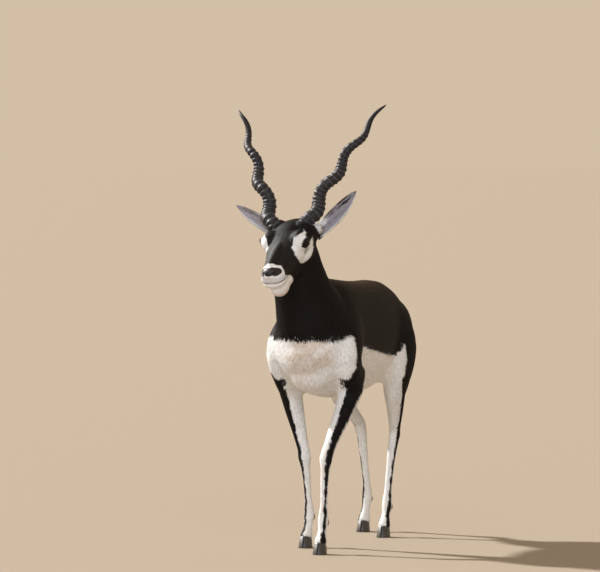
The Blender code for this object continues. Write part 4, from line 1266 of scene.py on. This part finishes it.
def stage_and_light():
    """A pale floor and sky, the sun and a soft light from the other side."""
    bpy.context.scene.view_settings.view_transform = "Standard"
    bpy.ops.object.select_all(action="DESELECT")
    bpy.ops.mesh.primitive_plane_add(size=FLOOR_SIZE, location=(0, 0, FLOOR_LEVEL))
    floor = bpy.context.object
    floor.name = "studio_floor"
    mat, shader = new_material("pale_floor", 0.85, 0.2)
    shader["Base Color"].default_value = (*FLOOR_COLOUR, 1)
    floor.data.materials.append(mat)
    world = bpy.data.worlds.new("studio")
    bpy.context.scene.world = world
    world.use_nodes = True
    sky = world.node_tree.nodes["Background"]
    sky.inputs["Color"].default_value = (*SKY_COLOUR, 1)
    sky.inputs["Strength"].default_value = SKY_STRENGTH
    for name, strength, colour, spread, towards in LIGHTS:
        lamp = bpy.data.lights.new(name, "SUN")
        lamp.energy = strength
        lamp.color = colour
        lamp.angle = math.radians(spread)
        item = bpy.data.objects.new(name, lamp)
        item.rotation_euler = Vector(towards).to_track_quat("-Z", "Y").to_euler()
        bpy.context.scene.collection.objects.link(item)


def place_camera():
    """The photograph's viewing angle, from the animal's left and a little above."""
    turn, rise = CAMERA_TURN, CAMERA_RISE
    back = Vector((math.sin(turn) * math.cos(rise), -math.cos(turn) * math.cos(rise), math.sin(rise)))
    camera = bpy.data.cameras.new("photo_camera")
    camera.sensor_width = SENSOR_WIDTH
    camera.lens = SENSOR_WIDTH * CAMERA_DISTANCE / PHOTO_WIDTH
    camera.clip_end = 400
    item = bpy.data.objects.new("photo_camera", camera)
    item.location = PHOTO_MIDDLE + WITHERS + back * CAMERA_DISTANCE
    item.rotation_euler = back.to_track_quat("Z", "Y").to_euler()
    bpy.context.scene.collection.objects.link(item)
    bpy.context.scene.camera = item


def dress():
    """Build every piece, attach it to the body it rides on and hide the nodes it replaces."""
    place_camera()
    stage_and_light()
    skin = build_skin()
    skin = joined([skin] + [build_ear(name) for name in EARS], "skin")
    points, normals, edges = points_of(skin), normals_of(skin), edges_of(skin)
    part = part_numbers(points)
    lie = lie_of_coat(points, normals, part, edges)
    finish_skin(skin, points, normals, lie, part)
    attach(skin, "root")
    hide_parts(*PARTS)
    hair = coat_material()
    for piece in coat_over(skin, points, normals, lie, part):
        piece.data.materials.append(hair)
        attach(piece, "root")

    keratin = horn_material()
    wet = eye_material()
    for word, side in SIDES.items():
        horn = build_horn("ringed_" + word, side)
        horn.data.materials.append(keratin)
        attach(horn, "root")
        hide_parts("horn_" + word)
        eye = build_eye("dark_" + word, side)
        eye.data.materials.append(wet)
        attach(eye, "root")
        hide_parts("eye_" + word)

    hard = hoof_material()
    for kind, width in CLAW_BEVELS:
        names = [f"{kind}_{foot}_{claw}" for foot in FEET for claw in ("inner", "outer")]
        claws = rounded_claws(names, kind + "_claws", width)
        claws.data.materials.append(hard)
        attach(claws, "root")
        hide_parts(*names)


dress()
